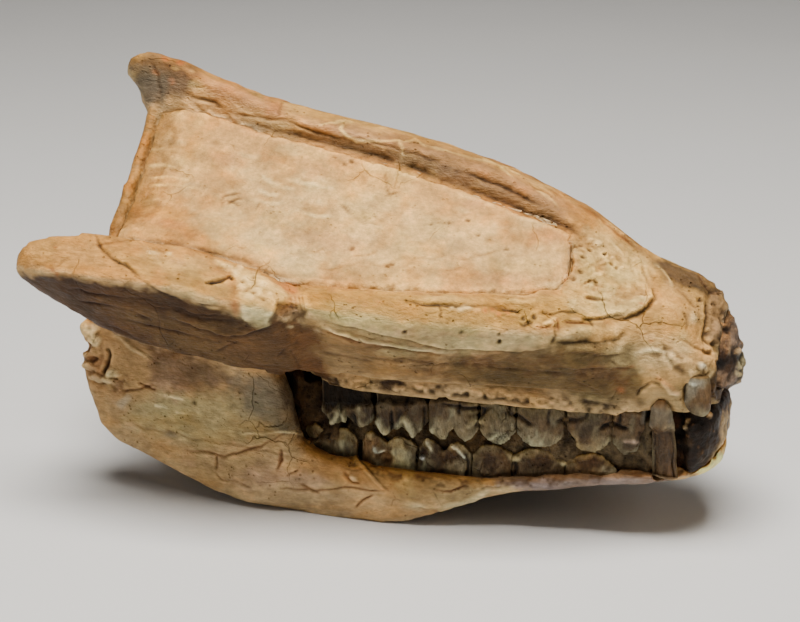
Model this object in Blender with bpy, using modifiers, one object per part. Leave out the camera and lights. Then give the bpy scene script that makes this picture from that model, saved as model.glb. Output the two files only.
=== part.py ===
"""Fossil skull of Merycoidodon, an oreodont, with its jaw closed and stone filling its hollows.

Lengths in this script are millimetres in the skull's own frame, turned into metres as a mesh
is made: x runs forwards to the snout, w is the distance out from the middle plane, z is the
height above the surface that the lower jaw rests on. The right side is at negative Y.
A station is (x, outline), and an outline is the (w, z) points of the cross-section there.
"""

import math

import bmesh
import bpy
import numpy as np
from mathutils import Matrix, Vector

MM = 0.001
RIGHT, LEFT = -1, 1
SIDES = {"right": RIGHT, "left": LEFT}

# Driving dimensions
REAR_TIP_X = -89.8
OCCIPUT_X = -71.6
SOCKET_FRONT_X = 58.4
SNOUT_X = 106.9
CREST_TOP_Z = 127.4
CHEEK_HALF_WIDTH = 65.0
BITE_Z = 27.2
REST_Z = 0.9
FIT_GAP = 0.3

# How fine the fused bones are
BONE_GRAIN = 1.4
CRANIUM_TRIANGLES = 1900
JAW_TRIANGLES = 900

# Where each cheek tooth starts and ends along x, from the back of the row
UPPER_TEETH = {
    "molar_3": (-10.0, 7.0),
    "molar_2": (7.0, 23.0),
    "molar_1": (23.0, 38.0),
    "premolar_4": (38.0, 48.5),
    "premolar_3": (48.5, 62.5),
    "premolar_2": (62.5, 75.5),
    "premolar_1": (75.5, 85.0),
}
LOWER_TEETH = {
    "molar_3": (-16.0, 2.5),
    "molar_2": (2.5, 20.0),
    "molar_1": (20.0, 36.0),
    "premolar_4": (36.0, 47.5),
    "premolar_3": (47.5, 62.5),
    "premolar_2": (62.5, 77.0),
}

# Outer face of each tooth row, the depth of its teeth towards the tongue, and the root ends
UPPER_ROW = {
    "x": (-10, 10, 30, 48, 62, 76, 90),
    "outer_w": (26.8, 26.9, 25.6, 23.0, 21.0, 19.4, 18.3),
    "depth": (12.4, 12.9, 12.4, 9.0, 7.2, 6.2, 5.6),
    "root_z": (44.0, 44.0, 44.0, 44.0, 44.0, 44.0, 44.0),
}
LOWER_ROW = {
    "x": (-16, 10, 30, 48, 62, 76, 90),
    "outer_w": (26.6, 27.0, 25.4, 22.2, 19.9, 18.4, 17.5),
    "depth": (8.0, 9.0, 8.5, 7.0, 6.0, 5.5, 5.5),
    "root_z": (15.2, 15.2, 15.4, 16.6, 18.4, 19.8, 20.4),
}

BONE = {"color": (0.62, 0.47, 0.29), "roughness": 0.5}
INFILL = {"color": (0.66, 0.50, 0.34), "roughness": 0.6}
DARK_STONE = {"color": (0.13, 0.09, 0.06), "roughness": 0.75}
ENAMEL = {"color": (0.34, 0.25, 0.16), "roughness": 0.35}


def clear_scene():
    for obj in list(bpy.data.objects):
        bpy.data.objects.remove(obj)


def new_collection(name):
    collection = bpy.data.collections.new(name)
    bpy.context.scene.collection.children.link(collection)
    return collection


def new_material(name, finish):
    material = bpy.data.materials.new(name)
    material.use_nodes = True
    shader = material.node_tree.nodes["Principled BSDF"]
    shader.inputs["Base Color"].default_value = (*finish["color"], 1.0)
    shader.inputs["Roughness"].default_value = finish["roughness"]
    shader.inputs["Metallic"].default_value = 0.0
    return material


def new_object(name, shape, collection, material=None):
    """A closed bmesh in millimetres, made an object in metres with its faces turned out."""
    bmesh.ops.recalc_face_normals(shape, faces=shape.faces)
    shape.transform(Matrix.Scale(MM, 4))
    mesh = bpy.data.meshes.new(name)
    shape.to_mesh(mesh)
    shape.free()
    if material:
        mesh.materials.append(material)
    obj = bpy.data.objects.new(name, mesh)
    collection.objects.link(obj)
    return obj


def add_loft(shape, rings):
    """Skins a row of equal rings and closes both ends. Every quad is split the same way."""
    rows = [[shape.verts.new(point) for point in ring] for ring in rings]
    for row, after in zip(rows, rows[1:]):
        for i in range(len(row)):
            j = (i + 1) % len(row)
            shape.faces.new((row[i], row[j], after[j]))
            shape.faces.new((row[i], after[j], after[i]))
    caps = [shape.faces.new(rows[0][::-1]), shape.faces.new(rows[-1])]
    bmesh.ops.triangulate(shape, faces=caps)


def add_ball(shape, centre, radii, fineness=3):
    turn = Matrix.Translation(centre) @ Matrix.Diagonal((*radii, 1.0))
    bmesh.ops.create_icosphere(shape, subdivisions=fineness, radius=1.0, matrix=turn)


def eased(stations, step):
    """More stations between the drawn ones, on curves through them that don't overshoot."""
    places = np.array([x for x, _ in stations], float)
    drawn = np.array([outline for _, outline in stations], float)
    gaps = np.diff(places)[:, None, None]
    rise = np.diff(drawn, axis=0) / gaps
    slope = np.concatenate([rise[:1], np.zeros_like(rise[1:]), rise[-1:]])
    product = rise[:-1] * rise[1:]
    total = np.where(np.abs(rise[:-1] + rise[1:]) < 1e-9, 1.0, rise[:-1] + rise[1:])
    slope[1:-1] = np.where(product > 0, 2 * product / total, 0.0)
    result = []
    for i in range(len(places) - 1):
        parts = max(1, math.ceil((places[i + 1] - places[i]) / step))
        for k in range(parts):
            t = k / parts
            curve = (
                (1 + 2 * t) * (1 - t) ** 2 * drawn[i]
                + t * (1 - t) ** 2 * gaps[i] * slope[i]
                + t * t * (3 - 2 * t) * drawn[i + 1]
                + t * t * (t - 1) * gaps[i] * slope[i + 1]
            )
            result.append((places[i] + t * gaps[i, 0, 0], curve))
    return result + [(places[-1], drawn[-1])]


def side_rings(stations, side, step=6.0, lean=None):
    """Rings of one side. lean(x) slants a ring: how far it moves forwards for each w."""
    return [
        [(x + (lean(x) * w if lean else 0.0), side * w, z) for w, z in outline]
        for x, outline in eased(stations, step)
    ]


def whole_rings(stations, step=6.0, lean=None):
    """Rings right round the middle plane, from outlines that run from its top to its foot."""
    rings = []
    for right in side_rings(stations, RIGHT, step, lean):
        rings.append(right + [(x, -y, z) for x, y, z in right[-2:0:-1]])
    return rings


def fused(name, shape, triangles, collection, material):
    """One skin round overlapping closed shapes, smoothed and cut down to few triangles."""
    obj = new_object(name, shape, collection, material)
    skin = obj.modifiers.new("one_skin", "REMESH")
    skin.mode = "VOXEL"
    skin.voxel_size = BONE_GRAIN * MM
    soften = obj.modifiers.new("soften", "SMOOTH")
    soften.factor = 0.5
    soften.iterations = 3
    full = evaluated_mesh(obj)
    full.calc_loop_triangles()
    thin = obj.modifiers.new("few_triangles", "DECIMATE")
    thin.ratio = triangles / len(full.loop_triangles)
    bpy.data.meshes.remove(full)
    return obj


def evaluated_mesh(obj):
    bpy.context.view_layer.update()
    graph = bpy.context.evaluated_depsgraph_get()
    return bpy.data.meshes.new_from_object(obj.evaluated_get(graph))


def cutter_round(obj, gap, collection):
    """A copy of a piece, grown by the gap on every side, to cut its place in a neighbour."""
    shape = bmesh.new()
    shape.from_mesh(obj.data)
    shape.transform(Matrix.Scale(1 / MM, 4))
    shape.normal_update()
    moves = [vert.normal * gap * min(vert.calc_shell_factor(), 2.5) for vert in shape.verts]
    for vert, move in zip(shape.verts, moves):
        vert.co += move
    return as_cutter(new_object(f"{obj.name}_place", shape, collection))


def as_cutter(obj):
    obj.hide_render = True
    obj.display_type = "WIRE"
    return obj


def cut(obj, cutters):
    for cutter in cutters:
        boolean = obj.modifiers.new(f"minus_{cutter.name}", "BOOLEAN")
        boolean.operation = "DIFFERENCE"
        boolean.solver = "EXACT"
        boolean.object = cutter
        boolean.use_self = True


# The braincase, forehead and snout: outlines from the roof's middle, over its edge and down
# the hidden flank to the palate.
CORE = [
    (-72, [(0, 125), (3.5, 122), (5, 112), (9, 103), (19, 93), (27, 82), (27, 70), (21, 58),
           (12, 51), (0, 51)]),
    (-68, [(0, CREST_TOP_Z), (4.2, 124.6), (5.6, 114), (9, 104), (18, 93), (26, 82), (26, 70),
           (21, 58), (12, 50), (0, 50)]),
    (-63, [(0, 126.2), (4, 124), (6, 114.4), (8, 106), (14, 94), (22, 82), (23, 70), (19, 58),
           (10, 50), (0, 50)]),
    (-54, [(0, 122.4), (3.8, 120.8), (6, 114.8), (7, 107), (12, 94), (19, 82), (22, 70),
           (19, 57), (10, 49), (0, 49)]),
    (-37, [(0, 117.2), (3.8, 116), (6.4, 112), (7.6, 105), (12, 94), (18, 82), (22, 68),
           (18, 55), (9, 49), (0, 48)]),
    (-22, [(0, 114.9), (3.8, 113.7), (6.6, 109.8), (7.8, 103), (12, 92), (17, 80), (21, 66),
           (18, 54), (9, 48), (0, 47)]),
    (-5, [(0, 112.3), (3.9, 111.2), (6.8, 107.6), (8, 100.5), (13, 90), (17, 78), (20, 64),
          (18, 52), (9, 47), (0, 46)]),
    (9, [(0, 109.8), (4, 108.8), (7, 105.6), (8.2, 98.5), (13, 88), (17, 77), (21, 63),
         (19, 51), (9, 46), (0, 45)]),
    (34, [(0, 103.7), (4, 102.9), (7.2, 99.8), (8.4, 92.5), (13, 84), (18, 76), (22, 63),
          (20, 51), (10, 45), (0, 44.5)]),
    (50, [(0, 98.3), (4.2, 97.3), (8, 94), (8.8, 87.5), (14, 80), (19, 72), (24, 62),
          (22, 51), (12, 45), (0, 44)]),
    (55.4, [(0, 96.3), (4.5, 95), (9, 91.2), (9.6, 85), (15, 78), (20, 71), (26, 62),
            (24, 50), (13, 44.5), (0, 44)]),
    (58.8, [(0, 94.8), (5, 93.2), (10.2, 89), (19.4, 83), (26.4, 77.2), (34.5, 70.2),
            (34.5, 62), (26, 49), (13, 44), (0, 44)]),
    (70, [(0, 88.8), (5, 86.2), (10, 82.6), (18, 77.7), (25.6, 72.2), (31.4, 67), (31, 58),
          (25, 48), (13, 43.5), (0, 43.5)]),
    (76, [(0, 84.8), (5, 82), (10, 78.7), (17, 74.8), (23, 70.4), (27.6, 65), (28, 57),
          (23.4, 47), (13, 43.2), (0, 43)]),
    (82, [(0, 81.5), (5, 79.2), (10, 76.2), (15, 73.4), (20.6, 69.2), (24.6, 63.6), (25, 56),
          (21, 47), (12, 42.6), (0, 42.4)]),
    (89, [(0, 79.3), (4, 77.8), (9, 74.7), (14.6, 71.6), (19, 67.6), (21.8, 62), (22, 55),
          (19, 47), (11, 42), (0, 42)]),
    (95, [(0, 77.8), (4, 75.8), (8.4, 72), (13.6, 68.3), (17.4, 64.4), (19.6, 60), (20, 53.6),
          (18, 46), (9.6, 41.6), (0, 41.4)]),
    (100, [(0, 74), (4, 70.9), (8, 67), (12, 62.4), (15.4, 58.6), (17.4, 54.6), (17.8, 50),
           (15.6, 45), (8.4, 41.6), (0, 41.4)]),
    (103.6, [(0, 69.2), (3, 67), (6.6, 62.6), (10, 58), (12.8, 54.6), (14.4, 51.4),
             (14.4, 48.4), (12, 45), (6.6, 42.6), (0, 42.4)]),
]

# The wall at the back of the head. It slants forwards on its way out to the cheek arch.
OCCIPUT_LEAN = 0.16
SOCKET_LEAN = 0.17
OCCIPUT = [
    (OCCIPUT_X - 5, [(0, 97), (3, 96), (6, 94), (14, 89), (26, 81.5), (38, 75), (38, 67),
                     (27, 61), (14, 53), (0, 52)]),
    (OCCIPUT_X - 0.5, [(0, 113), (3, 112), (6, 111.4), (17, 104.4), (30.6, 95.6), (46, 87.8),
                       (44, 68), (28, 61.5), (16, 51), (0, 50)]),
    (OCCIPUT_X + 5, [(0, 122), (4, 116), (6, 108.6), (18, 99.6), (32, 90.4), (47, 83),
                     (46, 68), (28, 61.5), (16, 52), (0, 50)]),
]

# The back half of the cheek arch: top edge, outer crease, foot and inner face of a wedge.
REAR_ARCH = [
    (REAR_TIP_X, [(54.6, 80.4), (57.4, 77.4), (55, 73.4), (51.6, 76.6)]),
    (-87.5, [(53.6, 83.4), (60, 77.5), (54.5, 70.2), (47.4, 76.6)]),
    (-83, [(53, 85.4), (61.4, 77.8), (54.6, 67.8), (45, 76.5)]),
    (-70, [(52, 87.2), (64.2, 78.8), (55, 62), (42, 74)]),
    (-57, [(51, 88), (CHEEK_HALF_WIDTH + 0.6, 79.4), (54, 56.4), (42, 71)]),
    (-40, [(50, 87.2), (CHEEK_HALF_WIDTH, 79.4), (52, 52.6), (42, 69)]),
    (-23, [(48, 83.2), (63, 76.4), (50, 50.4), (42, 67)]),
    (-12, [(46.5, 79.4), (60.4, 74.4), (47.5, 49), (40, 64)]),
    (-7, [(45, 76.6), (57, 72.3), (46, 49.4), (40, 63)]),
]

# The front half of the cheek arch: top edge, bulge, crack, flank, foot and inner face.
FRONT_ARCH = [
    (-15, [(44, 78), (50, 72), (49, 68), (45, 58), (43, 50), (38, 62)]),
    (0, [(46.5, 78.3), (52.8, 73), (51.5, 69.5), (46, 58), (41.5, 49), (36.5, 60)]),
    (20, [(46, 78.4), (51.5, 71.5), (49, 67.3), (44.5, 56), (38.5, 48.4), (34, 60)]),
    (40, [(40.5, 76.4), (45.7, 70), (43.2, 65), (39, 55), (33.8, 48), (28, 60)]),
    (54, [(37.4, 73.6), (41.4, 69), (39.4, 65), (36, 55), (31.6, 48), (25, 60)]),
    (65, [(34.6, 70.8), (37, 67), (35.4, 63), (32.6, 55), (29, 48.2), (22, 60)]),
    (77, [(26, 68.4), (29, 65), (28.6, 61), (27.6, 54), (24.4, 48), (18, 60)]),
]

# The bone that holds the upper cheek teeth: outer top, outer foot, inner foot, inner top.
UPPER_SHELF = [
    (-14, [(26.5, 52), (26, 43), (13, 43), (12, 52)]),
    (-6, [(29.2, 54), (29.2, 40.6), (11.5, 40.6), (11, 54)]),
    (10, [(29.4, 54), (29.4, 40.2), (11.5, 40.2), (11, 54)]),
    (30, [(28.2, 54), (28, 40.2), (10.5, 40.2), (10, 54)]),
    (48, [(25.6, 54), (25.4, 40.2), (9.5, 40.2), (9, 54)]),
    (76, [(22, 54), (21.8, 40.4), (8, 40.4), (8, 54)]),
    (86, [(20.6, 54), (19.6, 41.4), (7.5, 41.4), (7.5, 54)]),
    (100, [(17.6, 54), (16.8, 42), (7, 42), (7, 54)]),
]

# Side view of the upright back part of the lower jaw, as (x, z), round from its rear knob.
RAMUS_OUTLINE = [
    (-66, 57.4), (-77, 57), (-82, 52.6), (-82.6, 49), (-79.6, 45.2), (-83.4, 41.6), (-82.6, 34),
    (-80.4, 27), (-78.6, 20.5), (-73, 15.6), (-62, 12.2), (-49, 6.9), (-40, 3.4), (-30, 1.6),
    (-18, 2), (-13, 22), (-16, 38), (-22, 52), (-30, 57), (-42, 54.5), (-54, 55),
]
RAMUS_W = (27.0, 35.6)

# The body of the lower jaw: outer top, flank, outer foot, foot, inner foot and inner side.
JAW_BODY = [
    (-45, [(34, 40), (35.5, 28), (34.6, 13), (31, 4.8), (28, 4.8), (26, 13), (26.5, 28), (28, 40)]),
    (-25, [(34, 38), (35.6, 26), (34.8, 10), (31.6, 1), (28, 1), (25, 9), (24.6, 24), (26, 38)]),
    (-14, [(33, 24), (34.8, 17), (34.2, 7), (31.6, 0), (27.6, 0), (23.4, 8), (20, 17), (20, 21)]),
    (-5, [(31, 19.5), (34, 14), (33.6, 6), (31.2, -0.4), (27, -0.4), (22, 7), (17.5, 14),
          (17, 18.5)]),
    (12, [(30.4, 18.2), (32.8, 12), (32.2, 6), (30, 0), (26, 0.2), (21.5, 7), (17, 13),
          (16.5, 17.6)]),
    (24, [(29.4, 18), (31.2, 13), (30.2, 8), (28, 3.4), (24, 3.4), (20, 9), (16, 14),
          (15.5, 17.6)]),
    (36, [(27.4, 18), (28.4, 14), (27.2, 10.8), (25, 8.8), (21, 8.6), (17.5, 12), (15, 15),
          (14.5, 17.8)]),
    (50, [(24.6, 19), (24.9, 16.6), (24, 14.2), (21.4, 13), (16.6, 12.8), (14, 14.6),
          (12.6, 17), (12.3, 19)]),
    (65, [(22.2, 21), (22.4, 18.8), (21.6, 17), (19, 15.8), (14.4, 15.4), (11.6, 17),
          (10.8, 18.8), (10.6, 20.6)]),
    (80, [(20.2, 22.6), (20.4, 21), (19.6, 19.6), (17.4, 18.6), (12, 17.4), (8, 17.2),
          (6, 18.4), (5.6, 22)]),
    (90, [(18.4, 23), (18.6, 22), (17.8, 20.8), (15.6, 19.8), (10, 18), (5, 17.2), (3, 18),
          (2.8, 22)]),
    (98, [(13.6, 23), (13.6, 22.2), (12.8, 21.6), (11, 21), (7, 19.6), (4, 18.8), (2, 19),
          (1.8, 22)]),
]

# The stone in a temple and eye socket. Its top runs from the groove under the crest's edge
# down to the top of the cheek arch.
TEMPLE_STONE = [
    (OCCIPUT_X + 3, [(3, 111.5), (6.4, 110.6), (18, 102.2), (32, 93), (49, 85.4), (46, 80),
                     (40, 75), (22, 75), (12, 88)]),
    (-60, [(4, 113), (6.5, 112.2), (18, 103.4), (32, 94), (50, 86), (47, 80), (41, 74),
           (22, 74), (12, 88)]),
    (-40, [(4.6, 110), (7.6, 108.6), (19, 100.2), (32, 91.6), (48.6, 84.8), (45, 74),
           (41, 62), (22, 62), (14, 82)]),
    (-20, [(5, 107), (8, 105.4), (20, 97), (32, 88.2), (46.6, 80.6), (44, 69), (40, 59.6),
           (21, 59.6), (14, 80)]),
    (0, [(5.6, 104.2), (8.6, 102.8), (20, 94.6), (32, 86), (46.4, 76), (41, 68), (38, 59.6),
         (20.5, 59.6), (14, 78)]),
    (20, [(5.8, 101), (8.8, 99.4), (20, 91.6), (31, 84.4), (45.6, 76), (38, 68), (34.5, 60),
          (21, 60), (15, 77)]),
    (40, [(6, 96.4), (9, 94.6), (19, 88), (29, 81.8), (40.4, 74.4), (34, 68), (30, 62),
          (21, 62), (15, 77)]),
    (50, [(6.4, 93.6), (9.6, 91.8), (19, 85.4), (28, 79.2), (37.6, 72.2), (33, 68), (29, 64),
          (22, 64), (16, 76)]),
    (SOCKET_FRONT_X, [(7, 90), (10, 88.4), (18.6, 82.8), (25.6, 77.2), (34, 70.4), (31, 68),
                      (28, 66), (24, 66), (18, 74)]),
]

# The stone between the jaws: palate, beside the upper teeth, beside the lower teeth, floor.
JAW_STONE = [
    (-62, [(0, 47.5), (13, 47.5), (16, 38), (17, 34), (15, 20), (0, 20)]),
    (-48, [(0, 48.4), (13, 48.4), (18, 38), (20, 33), (19, 16), (0, 15)]),
    (-28, [(0, 47.6), (13, 47.4), (20, 38), (22, 33), (20, 13), (0, 11.5)]),
    (-17, [(0, 46.6), (12.6, 46.4), (14, 38), (17.6, 30), (17.6, 13), (0, 11)]),
    (-6, [(0, 46), (13, 45), (13.4, 29.4), (17, 26.4), (16, 12), (0, 11)]),
    (12, [(0, 45.6), (13, 44.6), (13.2, 29.4), (16.6, 26.4), (15.4, 13), (0, 12)]),
    (30, [(0, 45), (12.2, 44), (12.4, 29.4), (15.6, 26.4), (14.4, 15), (0, 13.6)]),
    (48, [(0, 44.6), (12.6, 44), (12.8, 29.4), (13.8, 26.4), (11.6, 18), (0, 16.4)]),
    (62, [(0, 44.4), (12.6, 43.6), (12.8, 29.4), (12.8, 26.4), (9.6, 20), (0, 18.4)]),
    (82, [(0, 43.6), (11.4, 43), (11.2, 30), (10.6, 26), (8.4, 22), (0, 20.6)]),
    (94.6, [(0, 43), (11.4, 42.6), (12, 32), (11, 27), (9, 22.4), (0, 21.4)]),
    (97.4, [(0, 42.8), (13.4, 42.4), (16, 36), (15.6, 28), (13, 22.6), (0, 21.8)]),
    (101, [(0, 42.4), (11.6, 42), (14, 36), (13, 28.6), (9, 24.6), (0, 23.6)]),
    (104, [(0, 41), (7, 40.4), (9.6, 36), (8.6, 31), (5, 28.6), (0, 28)]),
]

# The stone in the broken nose, from the plug inside to its rough outer face.
NOSE_STONE = [
    (94, [(0, 70), (6.6, 67), (11, 60), (12, 50), (0, 47)]),
    (100, [(0, 69.6), (6.2, 64.6), (10.6, 59), (13, 50), (0, 46)]),
    (104.4, [(0, 66.4), (5, 62), (9.6, 56), (11, 49), (0, 44.6)]),
    (SNOUT_X, [(0, 57.6), (3, 56), (5.8, 52.4), (5, 48.8), (0, 47)]),
]


def occiput_lean(_x):
    return OCCIPUT_LEAN


def socket_lean(x):
    """Rings slant most where the eye socket's front wall is."""
    return SOCKET_LEAN * max(0.0, 1 - abs(x - SOCKET_FRONT_X) / 28)


def temple_lean(x):
    """The temple stone's rings slant like the back wall near it, and like the socket's."""
    return OCCIPUT_LEAN * min(1.0, max(0.0, (-20 - x) / 40)) + socket_lean(x)


def cranium_shape():
    shape = bmesh.new()
    add_loft(shape, whole_rings(CORE, lean=socket_lean))
    add_loft(shape, whole_rings(OCCIPUT, lean=occiput_lean))
    add_ball(shape, (-73.6, 0, 122), (7.6, 5.4, 5.6))
    add_ball(shape, (-71.6, 0, 115), (5, 4.6, 6))
    for side in (RIGHT, LEFT):
        add_loft(shape, side_rings(REAR_ARCH, side))
        add_loft(shape, side_rings(FRONT_ARCH, side))
        add_loft(shape, side_rings(UPPER_SHELF, side))
        add_ball(shape, (-60, side * 34, 70), (13, 20, 8.5))
        add_ball(shape, (-78, side * 9, 57), (6.5, 7, 7.5))
        add_ball(shape, (-56, side * 13, 51), (11, 7, 7))
        add_ball(shape, (-70, side * 20.5, 53), (5, 4.5, 11))
    return shape


def ramus_rings(side):
    """The upright part of the jaw, as slices from its inner face to its outer one."""
    middle = Vector((-46, 30))
    rings = []
    for w, inset in zip(np.linspace(*RAMUS_W, 4), (0.94, 1.0, 1.0, 0.95)):
        points = [middle + (Vector(point) - middle) * inset for point in RAMUS_OUTLINE]
        rings.append([(x, side * w, z) for x, z in points])
    return rings


def jaw_shape():
    shape = bmesh.new()
    for side in (RIGHT, LEFT):
        add_loft(shape, ramus_rings(side))
        add_loft(shape, side_rings(JAW_BODY, side))
    add_ball(shape, (86, 0, 20.4), (16, 12, 3.2))
    add_ball(shape, (99.2, 0, 26.6), (5.6, 11.5, 7.2))
    return shape


def row_at(row, key, x):
    return float(np.interp(x, row["x"], row[key]))


def row_place(name, row, x_from, x_to, away, collection):
    """The slot that a row of teeth stands in. away is 1 for the upper row, -1 for the lower."""
    shape = bmesh.new()
    rings = {side: [] for side in (RIGHT, LEFT)}
    for x in np.linspace(x_from - FIT_GAP, x_to + FIT_GAP, 8):
        outer = row_at(row, "outer_w", x) + FIT_GAP
        inner = row_at(row, "outer_w", x) - row_at(row, "depth", x) - FIT_GAP
        root = row_at(row, "root_z", x) + away * FIT_GAP
        for side, ring in rings.items():
            ring.append([(x, side * w, z) for w, z in
                         ((outer, BITE_Z), (outer, root), (inner, root), (inner, BITE_Z))])
    for ring in rings.values():
        add_loft(shape, ring)
    return as_cutter(new_object(name, shape, collection))


def cheek_tooth(name, row, x_from, x_to, away, side, collection, material):
    """A cheek tooth: its outer face bulges at each cusp and nips in between them."""
    cusps = 2 if "molar" in name and "premolar" not in name else 1
    edge = BITE_Z + away * 0.15
    rings = []
    steps = 8 if cusps == 2 else 6
    for k in range(steps + 1):
        along = k / steps
        x = x_from + FIT_GAP / 2 + along * (x_to - x_from - FIT_GAP)
        wave = abs(math.sin(math.pi * cusps * along))
        outer = row_at(row, "outer_w", x)
        depth = row_at(row, "depth", x)
        root = row_at(row, "root_z", x)
        inner = outer - depth
        middle = outer - depth / 2
        pinch = 1.0 - 0.18 * (1 - math.sin(math.pi * along)) ** 3
        tip = edge + away * 3.4 * (1 - wave)
        outline = [
            (outer - 0.8, root),
            (outer - 0.9 + 0.6 * wave, root + (tip - root) * 0.35),
            (outer - 1.2 + 1.2 * wave, root + (tip - root) * 0.7),
            (outer - 2.2 + 0.8 * wave, tip),
            (middle, tip + away * 2.2),
            (inner + 0.6, tip + away * 0.8),
            (inner + 0.4, root),
        ]
        rings.append([(x, side * (middle + (w - middle) * pinch), z) for w, z in outline])
    shape = bmesh.new()
    add_loft(shape, rings)
    return new_object(name, shape, collection, material)


def peg_tooth(name, root, tip, root_radii, tip_radii, side, collection, material):
    """A tapering round tooth from root to tip, both (x, w, z); radii are along x and w."""
    start, end = Vector(root), Vector(tip)
    rings = []
    for along in (0.0, 0.35, 0.7, 0.9, 1.0):
        centre = start.lerp(end, along)
        shrink = math.sqrt(max(0.0, 1 - along ** 4)) * 0.7 + 0.3
        reach = Vector(root_radii).lerp(Vector(tip_radii), along) * shrink
        ring = []
        for k in range(10):
            turn = 2 * math.pi * k / 10
            x = centre.x + reach.x * math.cos(turn)
            w = centre.y + reach.y * math.sin(turn)
            ring.append((x, side * w, centre.z))
        rings.append(ring)
    shape = bmesh.new()
    add_loft(shape, rings)
    return new_object(name, shape, collection, material)


def recentre(parts, cutters):
    """Hangs everything on one empty, moved so that the skull stands at the world's origin."""
    bpy.context.view_layer.update()
    graph = bpy.context.evaluated_depsgraph_get()
    corners = [
        obj.matrix_world @ Vector(corner)
        for obj in parts.objects
        for corner in obj.evaluated_get(graph).bound_box
    ]
    low = Vector(min(corner[i] for corner in corners) for i in range(3))
    high = Vector(max(corner[i] for corner in corners) for i in range(3))
    frame = bpy.data.objects.new("skull_frame", None)
    parts.objects.link(frame)
    for obj in [*parts.objects, *cutters.objects]:
        if obj is not frame:
            obj.parent = frame
    frame.location = (-(low.x + high.x) / 2, -(low.y + high.y) / 2, -low.z)


def main():
    clear_scene()
    parts = new_collection("merycoidodon_skull")
    cutters = new_collection("cutters")
    bone = new_material("fossil_bone", BONE)
    infill = new_material("temple_stone", INFILL)
    dark = new_material("dark_stone", DARK_STONE)
    enamel = new_material("tooth_enamel", ENAMEL)

    temple_places = []
    for side_name, side in SIDES.items():
        shape = bmesh.new()
        add_loft(shape, side_rings(TEMPLE_STONE, side, 12.0, temple_lean))
        stone = new_object(f"{side_name}_temple_matrix", shape, parts, infill)
        temple_places.append(cutter_round(stone, FIT_GAP, cutters))

    middle_places = []
    for name, stations in (("jaw_matrix", JAW_STONE), ("nose_matrix", NOSE_STONE)):
        shape = bmesh.new()
        add_loft(shape, whole_rings(stations, 24.0))
        stone = new_object(name, shape, parts, dark)
        middle_places.append(cutter_round(stone, FIT_GAP, cutters))

    peg_places = []
    for side_name, side in SIDES.items():
        for tooth, (x_from, x_to) in UPPER_TEETH.items():
            name = f"upper_{side_name}_{tooth}"
            cheek_tooth(name, UPPER_ROW, x_from, x_to, 1, side, parts, enamel)
        for tooth, (x_from, x_to) in LOWER_TEETH.items():
            name = f"lower_{side_name}_{tooth}"
            cheek_tooth(name, LOWER_ROW, x_from, x_to, -1, side, parts, enamel)
        upper_canine = peg_tooth(f"upper_{side_name}_canine", (98, 16.2, 54), (99.6, 17.2, 42.6),
                                 (3.8, 3.0), (4.4, 2.8), side, parts, enamel)
        lower_fang = peg_tooth(f"lower_{side_name}_premolar_1", (90.6, 15, 21), (89.4, 19.2, 46.5),
                               (4.4, 2.9), (4.0, 2.6), side, parts, enamel)
        peg_places.append(cutter_round(upper_canine, FIT_GAP, cutters))
        peg_places.append(cutter_round(lower_fang, FIT_GAP, cutters))

    upper_slot = row_place("upper_tooth_slot", UPPER_ROW, -10, 85, 1, cutters)
    lower_slot = row_place("lower_tooth_slot", LOWER_ROW, -16, 77, -1, cutters)

    shape = bmesh.new()
    add_ball(shape, (OCCIPUT_X - 7, 0, 70), (9, 8, 7))
    spinal_opening = as_cutter(new_object("spinal_opening", shape, cutters))
    shape = bmesh.new()
    bmesh.ops.create_cube(shape, size=1, matrix=Matrix.Translation((0, 0, REST_Z - 10)) @
                          Matrix.Diagonal((300, 200, 20, 1)))
    below_rest = as_cutter(new_object("below_rest", shape, cutters))

    cranium = fused("cranium", cranium_shape(), CRANIUM_TRIANGLES, parts, bone)
    cut(cranium, [*temple_places, *middle_places, *peg_places, upper_slot, spinal_opening])
    jaw = fused("lower_jaw", jaw_shape(), JAW_TRIANGLES, parts, bone)
    cut(jaw, [middle_places[0], peg_places[1], peg_places[3], lower_slot, below_rest])

    recentre(parts, cutters)


main()
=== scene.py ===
"""The fossil's looks: finely sculpted bone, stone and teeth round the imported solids.

Lengths are millimetres in the row frame until a mesh is written. Forms that the photograph
shows are drawn as strokes in its view, 800 x 622, and land on the piece that they belong to.
The left side, which it doesn't show, gets the same strokes mirrored, shifted and fainter.
"""

import math

import bmesh
import bpy
import numpy as np
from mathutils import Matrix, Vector
from mathutils.bvhtree import BVHTree


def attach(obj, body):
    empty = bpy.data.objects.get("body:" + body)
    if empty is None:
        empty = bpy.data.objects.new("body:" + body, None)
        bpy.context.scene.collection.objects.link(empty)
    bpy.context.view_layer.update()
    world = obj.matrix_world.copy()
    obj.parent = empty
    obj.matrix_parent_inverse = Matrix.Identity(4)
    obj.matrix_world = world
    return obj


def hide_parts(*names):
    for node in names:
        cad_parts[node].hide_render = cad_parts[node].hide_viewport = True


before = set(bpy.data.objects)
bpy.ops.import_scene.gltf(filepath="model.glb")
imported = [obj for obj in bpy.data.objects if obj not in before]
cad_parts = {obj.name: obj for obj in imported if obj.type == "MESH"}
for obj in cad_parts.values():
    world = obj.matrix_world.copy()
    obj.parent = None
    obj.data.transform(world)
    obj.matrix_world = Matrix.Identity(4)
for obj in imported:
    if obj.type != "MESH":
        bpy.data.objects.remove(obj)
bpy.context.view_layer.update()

MM = 0.001
WELD = 1e-7

# Rounds of evening out: after the first remesh, after each finer step, and into what is hidden
FIRST_ROUNDS, LATER_ROUNDS, SPREAD_ROUNDS = 8, 2, 24
SHRINK, SWELL = 0.5, -0.53
CARRIED, HELD = 0.97, 0.03

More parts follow.
